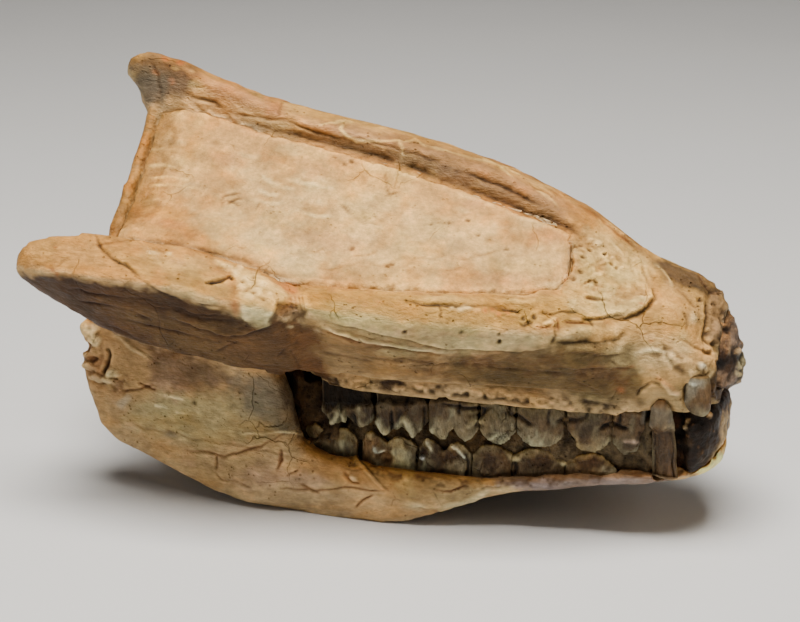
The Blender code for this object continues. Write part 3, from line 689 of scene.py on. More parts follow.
def draw_face(p):
    """From the eye's front rim to the broken nose."""
    p.field([(575, 238), (600, 225), (650, 262), (652, 300), (600, 320), (560, 296), (574, 270)],
            CREAM * (1, 1.12, 1.35), 0.5, 7)
    for x, y, w, h in ((598, 243, 7, 4), (590, 240, 4, 2.5), (604, 262, 6, 3), (622, 268, 4, 3),
                       (612, 258, 3, 3), (586, 266, 8, 3), (597, 275, 9, 4)):
        p.dab(x, y, w, h, WHITE, 0.6, -15, 0.4)
    p.dabs(((581, 245), (577, 247), (590, 250), (583, 258), (579, 272), (590, 282),
            (612, 264), (617, 268), (596, 284), (571, 262), (573, 280)), 4, 2.8, BROWN, 0.65, 25, -0.45)
    p.dab(604, 256, 6, 5.5, CREAM, 0.5, 0, 0.35)
    p.dab(604, 255, 3, 2.6, DARK_BROWN, 0.8, 0, -0.9)
    p.groove([(583, 285), (592, 280), (598, 282)], 2.4, 0.35, RUST, 0.7)
    for k in range(8):
        x = 620 + 4.6 * k + 2 * math.sin(4 * k)
        low = 282 + 7 * math.sin(2.4 * k)
        p.groove([(x - 4, 254 + 2 * k), (x, 266 + 2 * k), (x + 3, low)], 2.4, 0.26, OLIVE, 0.55)
    # Broken slab over the cheek
    p.field([(588, 262), (630, 264), (652, 298), (644, 311), (632, 318), (585, 314), (566, 305),
             (586, 292)], CREAM * (1, 1.1, 1.3), 0.6, 4)
    p.ledge([(600, 320), (626, 318), (636, 315), (645, 308), (653, 298), (648, 284)], 20, 1.3,
            DARK_BROWN, 0.75, 5)
    p.dab(643, 296, 9, 8, WHITE, 0.4, 40)
    p.groove([(585, 297), (596, 299), (608, 299)], 2.6, 0.5, BROWN, 0.8)
    p.dab(640, 306, 5, 2.4, RUST, 0.6, 20, 0.1)
    p.groove([(583, 319), (600, 318), (615, 317), (629, 316)], 3.2, 1.2, NEAR_BLACK, 0.95)
    p.groove([(590, 319), (592, 327)], 2.4, 0.7, NEAR_BLACK, 0.8)
    p.groove([(562, 321), (575, 323), (592, 324)], 2.2, 0.4, RUST, 0.6)
    p.dab(576, 320, 9, 4, PALE, 0.7, 5, 0.4)
    # Rounded bar under the split
    p.ridge([(556, 333), (580, 331), (605, 331), (622, 331)], 9, 0.9, CREAM, 0.75)
    p.groove([(552, 343), (575, 344), (600, 343), (622, 339), (627, 330)], 5, 0.7, DARK_BROWN, 0.6)
    p.dab(618, 330, 6, 8, WHITE, 0.3)
    # Stepped layers over the premolars
    p.field([(545, 346), (630, 344), (645, 380), (640, 402), (600, 404), (560, 392), (470, 384),
             (440, 372), (470, 356)], OLIVE * 0.42, 0.8, 7)
    for path in ([(560, 352), (585, 352), (600, 355), (628, 352)],
                 [(556, 365), (590, 369), (612, 368), (634, 365)],
                 [(575, 378), (590, 386), (602, 394)],
                 [(610, 358), (618, 365), (640, 370)]):
        p.ledge(path, 8, 0.5, BROWN, 0.6, 2.4)
    p.groove([(612, 369), (624, 369), (636, 365)], 2.5, 0.35, RUST, 0.8)
    p.dab(621, 391, 7, 5, RUST, 0.55)
    p.ridge([(636, 353), (648, 350), (660, 350), (668, 352)], 3, 0.3, CREAM, 0.7)
    p.dab(650, 340, 6, 4, RUST, 0.45)
    p.dab(648, 335, 14, 6, PALE, 0.5)
    p.groove([(632, 330), (640, 335), (650, 332)], 2.2, 0.3, BROWN, 0.4)
    p.field([(640, 352), (664, 352), (672, 385), (655, 372), (640, 372)], TAN, 0.5, 5)
    # Nose: slab, seams and the broken front
    p.field([(652, 262), (672, 258), (700, 270), (722, 292), (712, 298), (690, 290), (668, 284)],
            MAUVE * (0.18, 0.2, 0.25), 0.9, 5)
    p.field([(668, 284), (690, 292), (700, 310), (690, 330), (668, 320), (655, 300)], PALE, 0.55, 7)
    p.ledge([(655, 262), (666, 274), (674, 287)][::-1], 12, 0.5, BROWN, 0.35, 2.4)
    p.ridge([(655, 262), (666, 274), (674, 287)], 2.4, 0.25, WHITE, 0.7)
    p.groove([(676, 288), (690, 299), (698, 308)], 2.6, 0.3, BROWN, 0.4)
    p.groove([(697, 270), (702, 282), (712, 292), (722, 296)], 3, 0.5, BROWN, 0.5)
    p.dab(695, 318, 5, 11, WHITE, 0.7, 5, 0.5)
    p.dab(717, 328, 4, 11, PALE, 0.7, 0, 0.5)
    p.groove([(704, 300), (708, 318), (705, 335), (711, 348)], 4, 0.6, BROWN * 0.7, 0.6)
    p.groove([(686, 312), (688, 322), (685, 333)], 3, 0.4, BROWN, 0.5)
    p.dabs(((700, 300), (712, 306), (722, 312), (714, 344), (708, 352), (716, 362), (709, 334)), 4.5, 3.5,
           DARK_BROWN, 0.7, 40, -0.7)
    p.field([(662, 330), (700, 326), (712, 345), (716, 360), (706, 378), (690, 383), (672, 382),
             (668, 360)], GOLD_TAN, 0.8, 6, 0.3)
    p.field([(668, 335), (685, 330), (690, 350), (672, 356)], CREAM, 0.5, 6)
    for k in range(6):
        p.groove([(676 + 4 * k, 338 + 2 * k), (686 + 4 * k, 341 + 2 * k), (694 + 4 * k, 348 + 2 * k)],
                 2.0, 0.2, TAN, 0.5)
    p.groove([(664, 345), (669, 358), (674, 366)], 3.5, 0.6, GREY, 0.55)
    p.ridge([(676, 365), (688, 360), (700, 364), (708, 372)], 5, 0.4, GOLD_TAN, 0.6)
    p.dab(702, 365, 5, 4, WHITE, 0.7, 30, 0.3)
    p.groove([(655, 374), (668, 385), (680, 394)], 4, -0.5, RUST, 0.7)
    p.ridge([(660, 382), (670, 392), (682, 394)], 4, 0.7, PALE, 0.6)
    p.groove([(636, 396), (640, 388), (652, 382), (662, 386)], 3, 0.7, CRACK, 0.7)
    p.field([(706, 296), (735, 300), (742, 340), (712, 344), (708, 330)], MAUVE * 0.6, 0.7, 5)
    p.field([(715, 336), (745, 330), (745, 404), (708, 402), (704, 386), (712, 376), (718, 360)],
            NEAR_BLACK * 1.4, 0.9, 4)
    p.lift += p.ragged * 1.1 * (p.seen & (p.photo[:, 0] > 702) & (p.photo[:, 1] > 292))


def draw_cranium(p):
    """The fused bone of the skull."""
    p.blotch(KHAKI, 30, 0.05, 0.5, 101)
    p.blotch(TAN, 22, 0.25, 0.5, 102)
    p.blotch(ROSE, 18, 0.35, 0.35, 103)
    p.blotch(CREAM, 14, 0.4, 0.4, 104)
    p.lift += (rough(p.points, 13, 5, 105, (1.6, 1, 1)) * 0.42
               + rough(p.points, 3, 3, 106, (1.8, 1, 1)) * 0.14)
    p.gloss += rough(p.points, 16, 2, 107) * 0.10 - 0.02

    # Rear arch: the polished upper facet, and the lower facet under it, its brown deepened to near black
    # as painted shade
    p.field([(14, 262), (30, 238), (108, 232), (160, 240), (205, 252), (245, 262), (300, 292),
             (290, 312), (240, 310), (200, 300), (140, 284), (100, 279), (60, 274), (16, 275)],
            GOLD_TAN, 0.75, 5)
    # Painted shade: the lower facet, facing down and out, is painted near black-brown
    p.field([(10, 276), (60, 275), (100, 281), (140, 286), (200, 303), (245, 318), (300, 322),
             (330, 346), (330, 382), (250, 380), (220, 372), (190, 360), (150, 350), (125, 340),
             (80, 322)], BROWN * (0.13, 0.10, 0.045), 0.92, 4)
    p.field([(90, 298), (200, 320), (262, 336), (298, 350), (296, 372), (220, 366), (150, 342)],
            BROWN * (0.72, 0.85, 0.8), 0.6, 10)
    p.ridge([(12, 273), (60, 272), (100, 276), (140, 280), (200, 297), (240, 311)], 9, 0.7)
    p.field([(28, 244), (90, 240), (104, 262), (60, 268), (28, 266)], PALE, 0.5, 8)
    p.field([(110, 250), (160, 262), (150, 280), (128, 268)], KHAKI, 0.5, 5)
    p.field([(140, 248), (200, 258), (215, 275), (170, 275)], CREAM, 0.55, 7)
    p.dab(178, 262, 18, 6, MAUVE, 0.55, 8)
    p.field([(165, 268), (225, 274), (235, 300), (205, 300), (165, 288)], KHAKI, 0.6, 6)
    p.groove([(95, 236), (98, 243), (103, 250), (112, 258), (125, 265), (135, 273), (142, 280),
              (155, 288), (170, 296), (186, 303)], 2.9, 0.55, CRACK, 0.85)
    p.groove([(110, 256), (120, 262), (128, 266)], 4.5, 0.15, GREY * 0.8, 0.6)
    p.groove([(92, 244), (110, 242), (125, 240), (142, 239)], 2.2, 0.3, BROWN, 0.7)
    p.groove([(145, 241), (175, 243), (205, 249), (222, 256)], 2.4, 0.3, BROWN, 0.55)
    p.dabs(((55, 246), (54, 271), (58, 274)), 4, 2.4, RUST * 0.7, 0.7, 20)
    p.groove([(57, 268), (63, 262), (70, 257)], 2.0, 0.15, BROWN, 0.5)
    # Painted highlights: small white glints on the arch's upper facet, with low roughness under them
    for a, b, w in ((153, 253, 8), (168, 254, 4), (224, 266, 6)):
        p.dab(a, b, w, 2.6, WHITE, 0.8, 3, 0.15)
        p.gloss[(np.hypot(*(p.frayed - (a, b)).T) < w) & p.seen] = 0.2
    for a in range(5):
        p.groove([(40, 250 + 4 * a), (100, 251 + 4.4 * a), (160 + 6 * a, 262 + 5 * a)], 2.2,
                 0.07, TAN, 0.35)
    # Rough cream patch where the arch was broken
    p.field([(216, 261), (232, 263), (262, 278), (290, 296), (280, 312), (268, 322), (246, 322),
             (236, 300), (240, 282)], CREAM * 1.05, 0.85, 4, 0.4)
    p.dabs(((228, 268), (236, 274), (246, 280), (250, 285), (256, 292), (262, 286), (242, 288),
            (270, 296), (250, 298), (240, 268)), 5.5, 4, WHITE, 0.6, 30, 0.45)
    p.dabs(((232, 279), (243, 284), (252, 279), (254, 293), (262, 300), (246, 291)),
           3, 2.4, TAN, 0.6, 0, -0.45)
    p.field([(244, 302), (272, 306), (268, 325), (250, 322)], KHAKI * 1.05, 0.7, 4)
    p.groove([(205, 282), (222, 281), (230, 277), (234, 281)], 3.2, 0.9, CRACK, 0.9)
    p.dab(236, 292, 7, 6, GOLD_TAN, 0.7)
    p.dab(236, 308, 8, 10, RUST * 0.9, 0.65)
    p.field([(274, 281), (297, 283), (296, 296), (284, 292)], RUST * 1.1, 0.6, 3)
    p.field([(288, 296), (306, 292), (310, 308), (296, 312)], PALE, 0.7, 3, 0.4)
    for a in range(4):
        p.groove([(290 + 4 * a, 296), (293 + 4 * a, 310)], 1.9, 0.3, RUST, 0.55)
    p.field([(278, 303), (292, 300), (306, 312), (302, 320), (270, 322)], BROWN * 0.8, 0.8, 3, -0.7)
    # Long grain cracks and the step under the prong's end
    p.grooves(([(76, 300), (104, 305), (130, 311), (150, 319)],
               [(120, 299), (160, 307), (200, 318), (232, 321)],
               [(142, 299), (168, 306), (196, 315), (226, 316)],
               [(198, 303), (215, 304), (228, 309)],
               [(60, 288), (110, 296), (150, 300)],
               [(110, 316), (160, 328), (210, 340)]), 2.5, 0.45, CRACK * 0.9, 0.75)
    p.ledge([(165, 315), (190, 323), (206, 328), (230, 336), (246, 334), (266, 327), (286, 321)],
            14, 0.8, CRACK * 0.8, 0.85, 5)
    p.groove([(96, 323), (125, 334), (150, 346), (190, 357), (220, 368), (252, 368), (300, 376)],
             4, 0.5, DARK_BROWN * 0.8, 0.75)
    p.dab(222, 374, 9, 7, RUST * 0.8, 0.7, 20)
    p.grooves(([(240, 360), (262, 366), (302, 371)], [(290, 350), (296, 360), (302, 370)],
               [(216, 352), (228, 346), (240, 343)], [(276, 358), (290, 346), (300, 342)]),
              2.4, 0.4, CRACK, 0.7)
    p.field([(215, 338), (300, 330), (306, 372), (250, 368), (216, 356)], BROWN * 0.6, 0.6, 12)
    p.dab(290, 328, 6, 3, CREAM, 0.6, 0, 0.2)
    p.dab(317, 329, 6, 3, WHITE, 0.6, 20, 0.2)

    # Front arch: long split with a pale lip
    # Painted shade: the band under the split, its brown deepened where it lies under the arch
    p.field([(300, 322), (330, 330), (380, 342), (450, 352), (540, 352), (600, 350), (640, 400),
             (560, 392), (470, 384), (410, 378), (340, 372), (290, 372), (286, 330)],
            BROWN * 0.72, 0.8, 15)
    p.field([(310, 348), (420, 354), (560, 366), (600, 388), (450, 380), (330, 372)], TAN * 0.6,
            0.7, 8)
    p.ledge([(318, 318), (345, 325), (380, 334), (450, 348), (520, 351), (562, 346)], 10, 0.6,
            BROWN, 0.6, 3.5)
    p.ridge([(318, 324), (345, 334), (368, 342), (410, 348), (455, 351)], 3.6, 0.6, CREAM, 0.8)
    p.groove([(322, 330), (352, 340), (385, 348), (440, 354)], 2.6, 0.5, RUST * 0.8, 0.7)
    for k in range(7):
        p.groove([(320 + 36 * k, 352 + 3 * k), (350 + 36 * k, 356 + 3 * k), (372 + 36 * k, 362 + 2 * k)],
                 2.3, 0.22, DARK_BROWN, 0.45)
    p.dab(366, 317, 34, 8, KHAKI * 1.05, 0.45, 6)
    p.field([(470, 352), (560, 350), (560, 372), (480, 372)], RUST * 0.85, 0.4, 8)
    # Painted shade low over the upper teeth
    p.field([(410, 366), (540, 366), (610, 376), (610, 394), (450, 384)], BROWN * 0.45, 0.5, 7)
    p.dab(400, 353, 36, 7, KHAKI * 0.9, 0.45, 5)
    draw_front_arch(p)

    # Crest: knob, polished ridge, veins, grooves
    p.field([(122, 60), (150, 48), (185, 58), (200, 78), (186, 94), (152, 106), (138, 86)],
            MAUVE * 0.33, 0.85, 7)
    p.field([(138, 66), (168, 72), (166, 104), (144, 108)], GREY * 0.7, 0.6, 6)
    p.ridge([(134, 58), (152, 53), (172, 60), (196, 76)], 6, 0.4, PALE, 0.5)
    p.dabs(((165, 58), (181, 63), (156, 72), (172, 80)), 6, 3.4, RUST * 1.2, 0.55, 20)
    # Painted highlights: two pale glints on the knob
    p.dabs(((175, 68), (192, 73)), 5, 2.6, CREAM, 0.45, 25)
    p.dab(196, 84, 11, 6, KHAKI, 0.7, 20)
    p.groove([(150, 62), (158, 74), (160, 92), (156, 106)], 3.5, 0.5, BROWN, 0.5)
    p.ridge([(186, 72), (215, 86), (245, 99), (282, 114), (320, 126), (345, 133), (400, 147),
             (450, 160), (500, 178), (540, 197), (562, 208)], 9, 0.9, ROSE, 0.6)
    p.field([(200, 78), (240, 90), (285, 104), (283, 120), (240, 108), (205, 92)], ROSE * 0.9,
            0.5, 6)
    p.field([(263, 92), (284, 96), (282, 114), (268, 112)], RUST * 1.1, 0.4, 5)
    p.groove([(282, 96), (281, 105), (280, 117)], 2.6, 0.35, DARK_BROWN, 0.8)
    p.field([(284, 104), (312, 112), (330, 124), (312, 128), (288, 120)], PALE * 0.8, 0.5, 6)
    p.field([(318, 118), (408, 136), (520, 180), (556, 204), (500, 190), (400, 152), (330, 134)],
            MAUVE, 0.7, 4)
    # Painted shade: the crest's lower side, its mauve darkened under the rounded ridge
    p.field([(300, 128), (345, 137), (400, 154), (450, 168), (500, 186), (556, 206), (574, 228),
             (540, 214), (500, 198), (450, 180), (400, 162), (340, 145), (300, 136)],
            MAUVE * 0.5, 0.75, 4)
    p.ridges(([(320, 126), (345, 120), (352, 122)], [(343, 120), (340, 130), (346, 136), (357, 142),
               (400, 142), (404, 150), (403, 162)], [(413, 137), (420, 143), (426, 149)], [(424, 147),
               (470, 158), (500, 166), (514, 181)], [(498, 164), (530, 176), (562, 191), (600, 214)],
              [(536, 190), (550, 199), (558, 207)], [(404, 143), (414, 140)]), 2.6, 0.12, CREAM * 1.05,
             0.95)
    p.groove([(184, 92), (215, 104), (235, 114), (280, 119), (310, 130), (340, 139)], 2.8, 0.45,
             BROWN, 0.6)
    p.field([(248, 122), (300, 134), (296, 142), (250, 130)], GREY, 0.5, 4)
    p.groove([(360, 140), (400, 150), (450, 168), (500, 186), (548, 208)], 3, 0.45, DARK_BROWN, 0.6)
    p.field([(500, 166), (560, 186), (600, 210), (640, 238), (650, 250), (636, 246), (600, 219),
             (560, 196)], CREAM, 0.55, 4)
    p.groove([(546, 186), (570, 200), (598, 218), (626, 238), (640, 250)], 4.5, 0.4,
             RUST * 0.62, 0.75)
    p.dab(638, 248, 5, 3.4, RUST * 0.6, 0.85, 50)
    p.field([(530, 192), (562, 196), (580, 214), (562, 216), (536, 206)], MAUVE * 1.15, 0.6, 5)
    p.field([(566, 208), (600, 222), (618, 240), (592, 240), (574, 228)], GOLD_TAN, 0.6, 6)
    p.ridge([(608, 238), (616, 247), (623, 256)], 2.3, 0.25, WHITE, 0.7)
    p.field([(620, 238), (650, 250), (660, 262), (640, 262), (622, 250)], BROWN, 0.5, 6)

    # Rim behind the stone
    p.field([(128, 108), (160, 106), (150, 150), (136, 200), (124, 236), (106, 236), (120, 160)],
            TAN * (0.76, 0.76, 0.78), 0.8, 5)
    p.field(STONE_EDGE[4:22] + [(290, 150), (200, 125)], PALE, 0.7, 6, -1.0, 4)
    p.ridge([(153, 110), (142, 150), (127, 196), (115, 236)], 7, 0.8, TAN * (0.74, 0.75, 0.78), 0.9)
    p.ridge([(284, 280), (302, 284), (322, 286), (346, 288)], 6, 0.6)
    p.ridge([(x, y + 4) for x, y in CREST_GROOVE[4:]], 6, 0.0, TAN * (0.85, 0.78, 0.68), 0.9)
    draw_face(p)
    draw_seams(p)
    # Painted shade in the notches along the arch's lower margin
    p.rubble([(316, 382), (400, 387), (480, 395), (560, 404), (640, 414)], 8, 1.3, NEAR_BLACK * 1.5, 0.85)
    p.rubble([(585, 240), (600, 262), (590, 290), (640, 296)], 16, 0.5, TAN, 0.6)
    p.rubble([(440, 362), (520, 366), (600, 372), (640, 384)], 12, 0.5, BROWN * 0.7, 0.6)
    p.rubble([(660, 350), (690, 372), (704, 392)], 12, 0.8, BROWN * 0.6, 0.7)
    p.shade_edge(CREST_GROOVE[4:], 9, BROWN * 0.6, 0.9)
    # The palate side and the skull's base stay rough and are darkened where they face down
    p.lift += p.darken_below(BROWN * 0.8, 0.55) * rough(p.points, 7, 3, 111) * 0.5


def draw_stone(p):
    """The smooth stone that fills a temple and eye socket."""
    p.lift -= 1.3
    p.field(STONE_EDGE, PALE, 0, 5, 1.6)
    # What is hidden beside a straight line under the crest is kept low
    line_x, line_y, slope, band = 190, 94, 0.361, 17
    lip = np.abs(p.photo[:, 1] - line_y - slope * (p.photo[:, 0] - line_x)) < band
    p.lift = np.where(p.seen, p.lift, np.where(lip, -1.2, 0.36))
    p.blotch(CREAM, 16, 0.15, 0.45, 201)
    p.blotch(GOLD_TAN, 26, 0.1, 0.45, 202)
    p.blotch(ROSE, 14, 0.4, 0.35, 203, (1.6, 1, 0.7))
    p.blotch(WHITE, 5, 0.28, 0.4, 208, (2.2, 1, 0.9), 0.05)
    p.blotch(TAN, 4, 0.34, 0.35, 209, (1.8, 1, 1), -0.06)
    p.lift += rough(p.points, 14, 5, 205, (1.8, 1, 0.8)) * 0.32 + rough(p.points, 3.4, 3, 206) * 0.10
    p.field([(112, 232), (135, 190), (200, 195), (230, 235), (250, 262), (160, 242)], GOLD_TAN, 0.7, 10)
    p.field([(112, 150), (140, 104), (176, 108), (172, 165), (150, 215), (100, 236)], TAN * 0.62,
            0.75, 12, -0.3)
    p.field([(190, 205), (300, 210), (330, 262), (300, 284), (262, 268), (215, 250)], WHITE, 0.5, 12)
    p.field([(230, 165), (340, 182), (560, 256), (552, 276), (330, 272), (240, 240)],
            WHITE * 1.12, 0.45, 16)
    p.dab(168, 214, 34, 11, GOLD_TAN * (1, 0.9, 0.65), 0.6, 5)
    p.dab(172, 225, 24, 7, RUST * 1.3, 0.28, 5)
    for a, b, c in ((146, 150, 186), (150, 178, 192), (150, 186, 200), (148, 166, 176)):
        p.ridge([(a, b), ((a + c) / 2, b - 1), (c, b + 2)], 2.6, 0.14, CREAM, 0.85)
    p.dab(228, 160, 22, 12, ROSE * 1.15, 0.45, 10)
    p.grooves(([(240, 154), (239, 159), (236, 163)], [(221, 205), (222, 197), (230, 194), (240, 193)],
               [(226, 203), (233, 200), (241, 198)], [(254, 215), (258, 209), (262, 204)],
               [(226, 199), (233, 202), (240, 206)], [(384, 172), (386, 186), (389, 195), (396, 192)],
               [(340, 204), (352, 215), (366, 226)], [(360, 210), (366, 222), (378, 226)],
               [(268, 262), (266, 270), (270, 276)], [(262, 270), (270, 273)]), 2.1, 0.24, BROWN, 0.75)
    for a, b, c, d in ((268, 184, 296, 190), (282, 178, 318, 186), (250, 200, 284, 204),
                       (292, 196, 328, 204), (240, 214, 280, 220), (300, 212, 330, 216),
                       (258, 190, 280, 196), (310, 184, 334, 190)):
        p.ridge([(a, b), ((a + c) / 2, (b + d) / 2 + 2), (c, d)], 3.4, 0.12, WHITE * 1.1, 0.85)
    for k in range(9):
        p.ridge([(262 + 7 * k, 176 + 3 * (k % 4)), (270 + 7 * k, 183 + 3 * (k % 4))], 2.2, 0.12,
                WHITE, 0.75)
    p.dabs(((335, 158), (345, 165), (352, 162), (521, 215), (493, 291), (388, 266), (468, 220),
            (392, 264), (478, 235), (505, 250), (450, 222), (430, 224), (352, 248)), 3.6, 2.6, BROWN, 0.6,
           15, -0.32)
    p.dab(521, 215, 6, 5, PALE, 0.5, 0, 0.25)
    p.dab(521, 215, 2.6, 2.2, BROWN, 0.7, 0, -0.4)
    p.dab(456, 246, 20, 14, GREY * 1.35, 0.4)
    p.dab(515, 240, 34, 14, GOLD_TAN * 0.97, 0.55)
    p.dab(476, 204, 22, 10, ROSE * 1.1, 0.45)
    p.dab(548, 236, 22, 12, ROSE * 1.2, 0.4)
    p.dab(530, 268, 34, 12, CREAM, 0.5)
    p.dab(498, 280, 40, 9, ROSE * 1.2, 0.35)
    p.dab(366, 216, 16, 7, CREAM, 0.6)
    p.dab(440, 238, 8, 4, WHITE, 0.5)
    p.dab(388, 266, 8, 5, TAN, 0.5)
    p.dab(322, 240, 60, 14, ROSE * 1.22, 0.35, 8)
    p.dab(370, 180, 60, 14, GOLD_TAN * 1.04, 0.4, 16)
    p.dab(262, 250, 20, 8, CREAM * 1.08, 0.6, 20)
    p.dab(290, 262, 30, 9, WHITE, 0.4, 12)
    p.gloss += 0.04 + rough(p.points, 12, 2, 207) * 0.12
    for k in range(16):
        a = 300 + 17 * k
        b = 250 + 9 * math.sin(k * 2.3) + 12 * (k % 3)
        p.groove([(a, b), (a + 14, b + 2), (a + 26, b - 2)], 2.2, 0.10, TAN, 0.45)
    draw_front_arch(p)
    draw_seams(p)
    # Painted shade on the stone's lip in the groove under the crest
    p.groove([(x, y + 2) for x, y in CREST_GROOVE[5:]], 6, 0.7, TAN * (0.6, 0.5, 0.4), 0.9)
    p.ridge([(280, 282), (302, 286), (325, 288), (350, 289)], 9, 1.2)
    p.shade_edge(CREST_GROOVE[4:], 9, BROWN * 0.6, 0.9)


def draw_jaw(p):
    """The lower jaw: its lumpy rear top, stained side, lips and chin."""
    p.blotch(TAN, 24, 0.05, 0.5, 301)
    p.blotch(ROSE, 16, 0.3, 0.4, 302)
    p.blotch(CREAM, 13, 0.4, 0.35, 303)
    p.lift += (rough(p.points, 12, 5, 305, (1.4, 1, 1)) * 0.45
               + rough(p.points, 3, 3, 306, (1.6, 1, 1)) * 0.15)
    p.field([(78, 316), (118, 328), (150, 350), (160, 365), (150, 400), (100, 400), (84, 372),
             (76, 352)], TAN * (0.95, 0.86, 0.8), 0.7, 6)
    # Painted shade on the ramus just under the arch
    p.field([(150, 345), (225, 365), (240, 385), (190, 392), (150, 385)],
            MAUVE * (0.44, 0.37, 0.28), 0.8, 8)
    p.field([(120, 385), (152, 388), (158, 410), (128, 414)], TAN * 0.95, 0.6, 7)
    p.field([(150, 398), (262, 392), (300, 430), (200, 452), (150, 432), (120, 418)], KHAKI * 0.82,
            0.75, 10)
    p.field([(230, 375), (310, 372), (312, 440), (262, 428), (236, 400)], GREY * 0.78, 0.75, 10)
    # Painted shade in the recess under the arch's front end
    p.field([(284, 376), (316, 378), (322, 440), (298, 432)], NEAR_BLACK * 1.6, 0.8, 13)
    p.field([(160, 440), (240, 450), (300, 445), (350, 455), (390, 492), (340, 500), (240, 482),
             (180, 460)], BUFF, 0.6, 8)
    p.field([(220, 476), (320, 492), (420, 500), (430, 530), (300, 520), (220, 495)],
            BUFF * (1, 1.04, 1.15), 0.7, 8)
    p.field([(385, 470), (470, 475), (500, 480), (460, 505), (400, 500)], OLIVE * 0.85, 0.6, 7)
    p.field([(240, 468), (300, 472), (330, 484), (260, 486)], ROSE * 0.95, 0.45, 7)
    # Rear top: lumps, notch, lips and slot
    for a, b, w, h, up in ((89, 328, 11, 9, 0.9), (88, 346, 6, 6, -1.2), (96, 340, 9, 8, 0.7),
                           (92, 358, 8, 5, -0.8), (88, 366, 12, 5, 0.9), (100, 378, 14, 5, 0.7),
                           (112, 373, 9, 6, 0.8), (84, 354, 6, 4, 0.7)):
        p.dab(a, b, w, h, CREAM if up > 0 else RUST * 0.7, 0.65, 10, up)
    p.groove([(108, 347), (110, 356), (107, 366), (103, 374)], 3.8, 1.5, CRACK * 0.9, 0.95)
    p.groove([(84, 358), (92, 361), (100, 357)], 3, 0.8, BROWN * 0.8, 0.7)
    p.ledge([(84, 364), (100, 375), (116, 381), (124, 386)][::-1], 10, 0.25, BROWN, 0.4, 3)
    p.ridge([(82, 368), (97, 377), (112, 383), (120, 388)], 4, 0.2, PALE, 0.5)
    p.ledge([(104, 326), (120, 334), (130, 345), (145, 355), (158, 366)][::-1], 12, 0.35, BROWN,
            0.3, 3)
    p.ridge([(112, 331), (124, 340), (134, 350), (150, 358)], 3.2, 0.15, CREAM, 0.5)
    p.rubble([(86, 326), (92, 345), (96, 365), (118, 384)], 16, 0.9, RUST * 0.55, 0.5)
    # Painted shade along the ramus's top, under the arch
    p.field([(104, 322), (160, 346), (200, 360), (160, 356), (128, 340)], BROWN * 0.6, 0.7, 4)
    # Cracks and edges over the side
    p.grooves(([(138, 384), (148, 388), (156, 392)], [(122, 392), (140, 390), (152, 386)], [(185, 449),
                (210, 453), (226, 456), (246, 451), (262, 446), (285, 433)], [(217, 455), (218, 462),
                (216, 471)], [(280, 449), (281, 460), (278, 471)], [(286, 477), (292, 473), (299, 470)],
               [(215, 473), (222, 479), (236, 481), (250, 489)], [(278, 490), (295, 491), (312, 491)],
               [(312, 492), (345, 487), (385, 492)], [(354, 509), (362, 501), (373, 495)], [(300, 486),
                (320, 494)], [(416, 506), (440, 512), (462, 510)], [(432, 490), (450, 492), (466, 486)]),
              2.5, 0.42, RUST * 0.55, 0.8)
    p.groove([(217, 456), (217, 470)], 3, 0.3, RUST * 0.7, 0.7)
    p.dab(280, 460, 3.5, 10, RUST * 0.6, 0.7)
    p.ridge([(238, 433), (262, 434), (286, 431), (305, 434)], 2.6, 0.25, CREAM, 0.6)
    p.ridge([(308, 440), (320, 445), (332, 446)], 4.5, 0.6, WHITE, 0.7)
    p.ridge([(338, 443), (352, 445)], 3.6, 0.6, WHITE, 0.7)
    p.ledge([(390, 494), (382, 488), (372, 474), (358, 460), (346, 448)], 9, 0.6, BROWN, 0.4, 3)
    p.ridge([(346, 448), (358, 462), (374, 478), (384, 490)], 2.8, 0.5, PALE, 0.7)
    p.dab(353, 478, 6, 3.6, WHITE, 0.7, 20, 0.4)
    p.groove([(342, 470), (352, 482), (360, 484)], 3, 0.5, RUST * 0.7, 0.6)
    p.field([(350, 448), (390, 476), (395, 492), (372, 480), (352, 462)], KHAKI * 0.6, 0.5, 4)
    p.dab(194, 403, 4, 4, DARK_BROWN, 0.7, 0, -0.3)
    p.dab(170, 434, 10, 5, GREY * 0.7, 0.6, 20)
    for a, b, c in ((163, 396, 186), (154, 406, 170), (186, 409, 200), (176, 412, 196)):
        p.ridge([(a, b), ((a + c) / 2, b + 1), (c, b + 4)], 2.8, 0.25, CREAM, 0.6)
    p.dab(124, 402, 12, 7, WHITE, 0.35, -10)
    p.dab(126, 426, 16, 5, PALE, 0.5, 10)
    p.ridge([(404, 504), (440, 508), (470, 502), (492, 490)], 5, 0.4, CREAM, 0.6)
    p.field([(392, 418), (414, 440), (416, 492), (400, 490), (390, 470)], KHAKI, 0.6, 4)
    p.field([(470, 470), (560, 466), (660, 466), (690, 474), (640, 490), (520, 492)],
            ROSE * (0.40, 0.55, 0.9), 0.8, 5)
    p.rubble([(300, 432), (340, 456), (400, 478), (480, 486), (600, 478), (680, 471)], 7, 0.8,
             BROWN * 0.5, 0.7)
    p.dab(660, 467, 7, 4, RUST * 1.3, 0.6, -20, 0.3)
    p.dab(655, 465, 3, 2.4, WHITE, 0.6, 0, 0.2)
    p.field([(694, 472), (720, 432), (724, 408), (738, 408), (736, 450), (712, 480)],
            GOLD_TAN * 2.5, 0.85, 4)
    p.dabs(((720, 440), (722, 449), (726, 432)), 3.4, 3, WHITE, 0.8, 0, 0.4)
    p.dab(725, 425, 5, 9, RUST * 1.1, 0.5)
    for k in range(8):
        p.groove([(130 + 34 * k, 424 + 7 * k), (150 + 34 * k, 428 + 7 * k), (168 + 34 * k, 434 + 6 * k)],
                 2.2, 0.14, BROWN, 0.4)
    p.gloss += rough(p.points, 14, 2, 307) * 0.12
    # What faces down is darkened
    p.darken_below(BROWN, 0.4)


